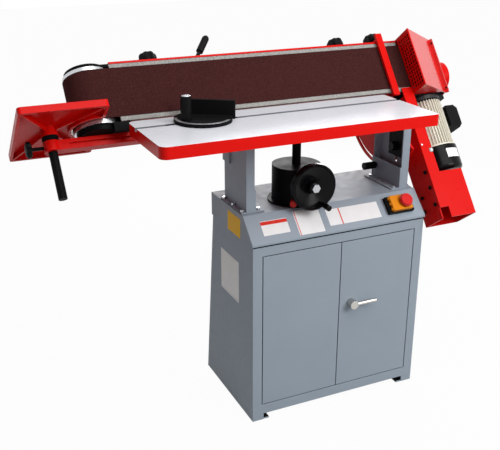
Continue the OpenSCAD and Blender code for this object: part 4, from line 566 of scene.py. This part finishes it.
# %% Stickers
STICKER_T, STICKER_CORNER = 0.35 * MM, 2 * MM
# The bevel of the hood runs back and up by HOOD_BEVEL, at 45 degrees.
HOOD_BEVEL = 68 * MM
SLOPE = math.sqrt(0.5)
hood_low, hood_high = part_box("hood")
bevel_middle = np.array([0, hood_low.y + HOOD_BEVEL / 2, hood_high.z - HOOD_BEVEL / 2])
bevel_along = np.array([0, SLOPE, SLOPE])
# On the bevel: kind, middle along X, middle up the slope, width and height, in millimetres.
BEVEL_STICKERS = (("notice", -214, -1.5, 87, 47), ("data", -101, -2, 86, 80), ("front", 56, -2, 184, 54))
# On the left side: name, kind, middle, and width and height, in metres.
SIDE_STICKERS = (("sticker_yellow", "yellow", (hood_low.x, -0.060, 0.628), (0.094, 0.062)),
                 ("sticker_side", "plain", (cabinet_low.x, -0.018, 0.441), (0.138, 0.138)))

for kind, middle_x, middle_along, wide, high in BEVEL_STICKERS:
    spot = bevel_middle + (middle_x * MM, 0, 0) + middle_along * MM * bevel_along
    plate("sticker_" + kind, spot, (1, 0, 0), bevel_along, (wide * MM, high * MM), STICKER_T, STICKER_CORNER,
          banded[kind], "stand")
for name, kind, spot, size in SIDE_STICKERS:
    plate(name, spot, (0, -1, 0), (0, 0, 1), size, STICKER_T, STICKER_CORNER, banded[kind], "stand")
print("stickers:", len(BEVEL_STICKERS) + len(SIDE_STICKERS))

# %% [markdown]
# ## Mitre gauge scale
# A silver arc with degree marks lies on the rim of the gauge's half-round base. It is a strip carried round
# the swivel: an angle runs along it and a short profile across it. Marks cut into the mesh would be finer
# than a pixel, so the material draws them from the share of the arc that the strip's own map holds.

# %% Gauge scale
SCALE_IN, SCALE_OUT, SCALE_T = 73 * MM, 81 * MM, 0.8 * MM
# The head of the gauge stands turned by GAUGE_ANGLE, and the scale's own angles start from its fence.
GAUGE_ANGLE = math.radians(-32.7)
SCALE_FROM, SCALE_TO, SCALE_STEPS = math.radians(-168), math.radians(-12), 61
MARKS, MARK_WIDTH, MARK_START = 32, 0.14, 0.45
SILVER, INK = "#d5d6d8", "#202022"
SILVER_METALLIC, SILVER_ROUGH = 0.8, 0.3


def etched_scale():
    """Silver strip with black marks: one for each of MARKS equal shares of its length, MARK_WIDTH of that
    share wide, from MARK_START of the strip's width to its outer edge."""
    material, tree, shader, _ = begin("etched silver scale")
    face = add(tree, "UVMap", uv_map="face")
    share = add(tree, "SeparateXYZ", {0: face.outputs[0]})
    count = add(tree, "Math", {0: share.outputs[0], 1: MARKS}, operation="MULTIPLY")
    part = add(tree, "Math", {0: count.outputs[0]}, operation="FRACT")
    ink = add(tree, "Math", {0: part.outputs[0], 1: MARK_WIDTH}, operation="LESS_THAN")
    outer = add(tree, "Math", {0: share.outputs[1], 1: MARK_START}, operation="GREATER_THAN")
    both = add(tree, "Math", {0: ink.outputs[0], 1: outer.outputs[0]}, operation="MULTIPLY")
    shade = add(tree, "Mix", {0: both.outputs[0], 6: linear(SILVER), 7: linear(INK)}, data_type="RGBA")
    feed(tree, shader, {"Base Color": shade.outputs[2], "Metallic": SILVER_METALLIC,
                        "Roughness": SILVER_ROUGH})
    return material


def corners(node):
    """All the mesh points of a solid piece, as rows of x, y, z."""
    found = np.empty(3 * len(nodes[node].data.vertices), np.float32)
    nodes[node].data.vertices.foreach_get("co", found)
    return found.reshape(-1, 3).astype(float)


swivel = np.array(joints["gauge_swivel"]["pos_m"])
reach = corners("gauge_head") - swivel
# The fence stands behind the swivel, so the highest point in front of it is on the rim.
in_front = reach @ (math.sin(GAUGE_ANGLE), -math.cos(GAUGE_ANGLE), 0) > 0
rim_z = swivel[2] + reach[in_front, 2].max()
scale_turn = (np.linspace(SCALE_FROM, SCALE_TO, SCALE_STEPS) + GAUGE_ANGLE)[::-1]
scale_profile = [(SCALE_IN, 0), (SCALE_OUT, 0), (SCALE_OUT, SCALE_T), (SCALE_IN, SCALE_T)]
arc_strip("gauge_scale", (swivel[0], swivel[1], rim_z), np.eye(3), scale_turn, scale_profile, (0, 1, 1, 0),
          etched_scale(), "gauge_head")
print("gauge scale of", MARKS, "marks, from radius", SCALE_IN / MM, "to", SCALE_OUT / MM, "mm")

# %% [markdown]
# ## Star knobs
# The clamping knobs are moulded with seven round lobes, a domed top and a waist above the stud. A knob is a
# profile carried round its axis whose radius swells and shrinks seven times a turn. The swell fades to
# nothing at the stud and at the crown, so that the piece closes neatly, and each knob takes its size from
# the solid one that it stands for.

# %% Star knobs
LOBES = 7
KNOB_STEPS = 12 * LOBES
STUD_R = 5 * MM
# Each ring is its share of the knob's radius, its share of the height, and its swell.
KNOB_RINGS = np.array([
    (0.50, 0.00, 0.00), (0.74, 0.06, 0.06), (0.87, 0.20, 0.13), (0.89, 0.50, 0.13), (0.86, 0.72, 0.12),
    (0.74, 0.89, 0.08), (0.50, 0.97, 0.03), (0.20, 1.00, 0.00)])
# Each knob has its solid piece, the joint that it turns on, and which way along that axis it points.
KNOBS = (("cover_knob_left", "left_cover_knob_turn", 1), ("end_knob", "end_knob_turn", -1),
         ("cover_knob_right", "right_cover_knob_turn", 1), ("work_stop_knob", "work_stop_knob_turn", 1))
body_of = {n: body for body, members in frame["record"]["behaviour"]["bodies"].items() for n in members}


def lobed_knob(node, joint, out):
    """Knob that stands for a solid one, on the axis of its joint and from its foot to its top.
    Ring radius: share * r * (1 + swell * cos(LOBES * t)), with the rings of KNOB_RINGS above the stud.
    They begin at the seat, where the solid first spreads to more than two radii of the stud."""
    axis = out * np.array(joints[joint]["axis"], float)
    base = np.array(joints[joint]["pos_m"], float)
    offset = corners(node) - base
    along = offset @ axis
    across = np.linalg.norm(offset - along[:, None] * axis, axis=1)
    seat = along[across > 2 * STUD_R].min()
    t, way = ways_round(axis, KNOB_STEPS)
    lobed = KNOB_RINGS[:, :1] * across.max() * (1 + KNOB_RINGS[:, 2:] * np.cos(LOBES * t))
    radius = np.concatenate([np.full((2, KNOB_STEPS), STUD_R), lobed])
    height = np.concatenate([[along.min(), seat], seat + (along.max() - seat) * KNOB_RINGS[:, 1]])
    rings = base + radius[:, :, None] * way + height[:, None, None] * axis
    piece = skin(node + "_moulded", rings, black_plastic, body_of[node])
    piece.data.shade_smooth()
    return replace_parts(piece, node)


for node, joint, out in KNOBS:
    lobed_knob(node, joint, out)
print("star knobs:", len(KNOBS))

# %% [markdown]
# ## Small plates and bolts
# The fan cover carries a small white plate, bent to its round, which is a strip carried round the motor's axis. A
# zinc bolt and a rivet sit on the front strip of the chute, and the gauge handle has a pale cap: all three are
# turned. Along the front of the cabinet, under the hood, a black plate a third of a millimetre thick is painted
# shadow: a dark line that stands for the shade in the gap between hood and cabinet.

# %% Fan cover plate
# The plate's angles are degrees from X towards the back of the motor, and its heights along the motor start
# from the middle of the drum. Its radius is the cover's own, the farthest that the cover lies from the axis.
PLATE_FROM, PLATE_TO, PLATE_ARC_STEPS = -100, -55, 13
PLATE_LOW, PLATE_HIGH, PLATE_T = -331 * MM, -301 * MM, 0.4 * MM
motor_back = np.cross(motor_up, (1.0, 0.0, 0.0))
fan_r = np.linalg.norm(np.cross(corners("fan_cover") - drum_middle, motor_up), axis=1).max()
plate_turn = np.radians(np.linspace(PLATE_FROM, PLATE_TO, PLATE_ARC_STEPS))[::-1]
plate_profile = [(fan_r, PLATE_LOW), (fan_r + PLATE_T, PLATE_LOW), (fan_r + PLATE_T, PLATE_HIGH),
                 (fan_r, PLATE_HIGH)]
arc_strip("fan_cover_plate", drum_middle, ((1, 0, 0), motor_back, motor_up), plate_turn, plate_profile,
          (0, 0, 1, 1), banded["plain"], "head")
print("fan cover plate", round((PLATE_HIGH - PLATE_LOW) / MM), "mm high, at radius", round(fan_r / MM), "mm")

# %% Bolts, painted shadow line and cap
# Profiles are pairs of radius and height. A fastener of the chute has its name, its place along X, its height
# along the motor and its profile. All are in millimetres.
BOLT = [(8, 0), (8, 1.2), (5.2, 1.4), (5, 4), (3.6, 4.6)]
RIVET = [(4, 0), (3.8, 1), (2.4, 1.9), (1, 2.2)]
CAP = [(13, 0), (13, 0.8), (11.5, 1.8), (4, 2.2)]
CHUTE_FASTENERS = (("chute_bolt", 365, -301, BOLT), ("chute_rivet", 337, -280, RIVET))
# Under the hood's edge a thin black plate is painted shadow, for the shade in the gap between hood and cabinet.
SHADOW_LINE_HIGH, SHADOW_LINE_T, SHADOW_LINE_CORNER = 5 * MM, 0.3 * MM, 1 * MM

chute_face = ((corners("dust_chute") - drum_middle) @ -motor_back).max()
chute_start = drum_middle * (0, 1, 1) - chute_face * motor_back
for name, x, height, profile in CHUTE_FASTENERS:
    foot = chute_start + np.array((x, 0, 0)) * MM + height * MM * motor_up
    turned(name, foot, -motor_back, np.array(profile) * MM, zinc_steel, "head")
plate("hood_shadow_line", (0, cabinet_low.y, cabinet_high.z - SHADOW_LINE_HIGH / 2), (1, 0, 0), (0, 0, 1),
      (cabinet_high.x - cabinet_low.x, SHADOW_LINE_HIGH), SHADOW_LINE_T, SHADOW_LINE_CORNER, black_plastic, "stand")
grip_x, grip_y, _ = joints["gauge_handle_turn"]["pos_m"]
turned("gauge_handle_cap", (grip_x, grip_y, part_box("gauge_handle")[1].z), (0, 0, 1), np.array(CAP) * MM,
       zinc_steel, "gauge_handle")
# The line counted here is the painted shadow under the hood.
print("one bolt, one rivet, one joint line, one cap")

# %% [markdown]
# ## Light and floor
# Soft studio light: a pale world for fill, a large lamp overhead, a key at the front right, which leaves the
# left side in shade as in the photograph, and a lamp behind. The floor and the background show white to the
# camera, and to what mirrors them, by their own colour, and the floor keeps a share of the shadow.

# %% World and lamps
WORLD_LEVEL = 0.28
WHITE = linear("#ffffff")
AIM = Vector((0, 0, 0.7))
# Each lamp has its place in metres, its width in metres and its power in watts.
LAMPS = (("key", (1.8, -3.2, 2.6), 2.0, 107), ("top", (0.1, -1.5, 3.7), 2.4, 70),
         ("back", (1.3, 2.4, 1.3), 1.6, 50))


def seen_white(tree):
    """One for rays from the camera, off a glossy surface or through a clear one, and nothing for the rest."""
    ray = add(tree, "LightPath").outputs
    seen = add(tree, "Math", {0: ray["Is Camera Ray"], 1: ray["Is Glossy Ray"]}, operation="MAXIMUM")
    seen = add(tree, "Math", {0: seen.outputs[0], 1: ray["Is Transmission Ray"]}, operation="MAXIMUM")
    return seen.outputs[0]


world = bpy.data.worlds.new("studio")
world.use_nodes = True
scene.world = world
tree = world.node_tree
level = add(tree, "MapRange", {0: seen_white(tree), 3: WORLD_LEVEL, 4: 1.0})
feed(tree, tree.nodes["Background"], {"Strength": level.outputs[0], "Color": WHITE})

for name, place, size, power in LAMPS:
    lamp = bpy.data.lights.new(name, "AREA")
    lamp.size = size
    lamp.energy = power
    holder = bpy.data.objects.new(name, lamp)
    scene.collection.objects.link(holder)
    holder.location = place
    holder.rotation_euler = (AIM - Vector(place)).to_track_quat("-Z", "Y").to_euler()
scene.view_settings.view_transform = "Standard"
print("lamps:", len(LAMPS))

# %% Floor
FLOOR_HALF = 12
FLOOR_GREY = linear("#a6a6a6")
FLOOR_ROUGH = 0.9
FLOOR_OWN = 0.97
SQUARE = ((-1, -1), (1, -1), (1, 1), (-1, 1))

floor_mesh = bpy.data.meshes.new("floor")
floor_mesh.from_pydata([(x * FLOOR_HALF, y * FLOOR_HALF, 0) for x, y in SQUARE], [], [(0, 1, 2, 3)])
floor = bpy.data.objects.new("floor", floor_mesh)
scene.collection.objects.link(floor)
material, tree, shader, _ = begin("white studio floor")
feed(tree, shader, {"Base Color": FLOOR_GREY, "Roughness": FLOOR_ROUGH})
own = add(tree, "Emission", {"Color": WHITE, "Strength": 1.0})
share = add(tree, "Math", {0: seen_white(tree), 1: FLOOR_OWN}, operation="MULTIPLY")
both = add(tree, "MixShader", {0: share.outputs[0], 1: shader.outputs[0], 2: own.outputs[0]})
feed(tree, tree.nodes["Material Output"], {"Surface": both.outputs[0]})
floor_mesh.materials.append(material)
print("floor", 2 * FLOOR_HALF, "m wide")
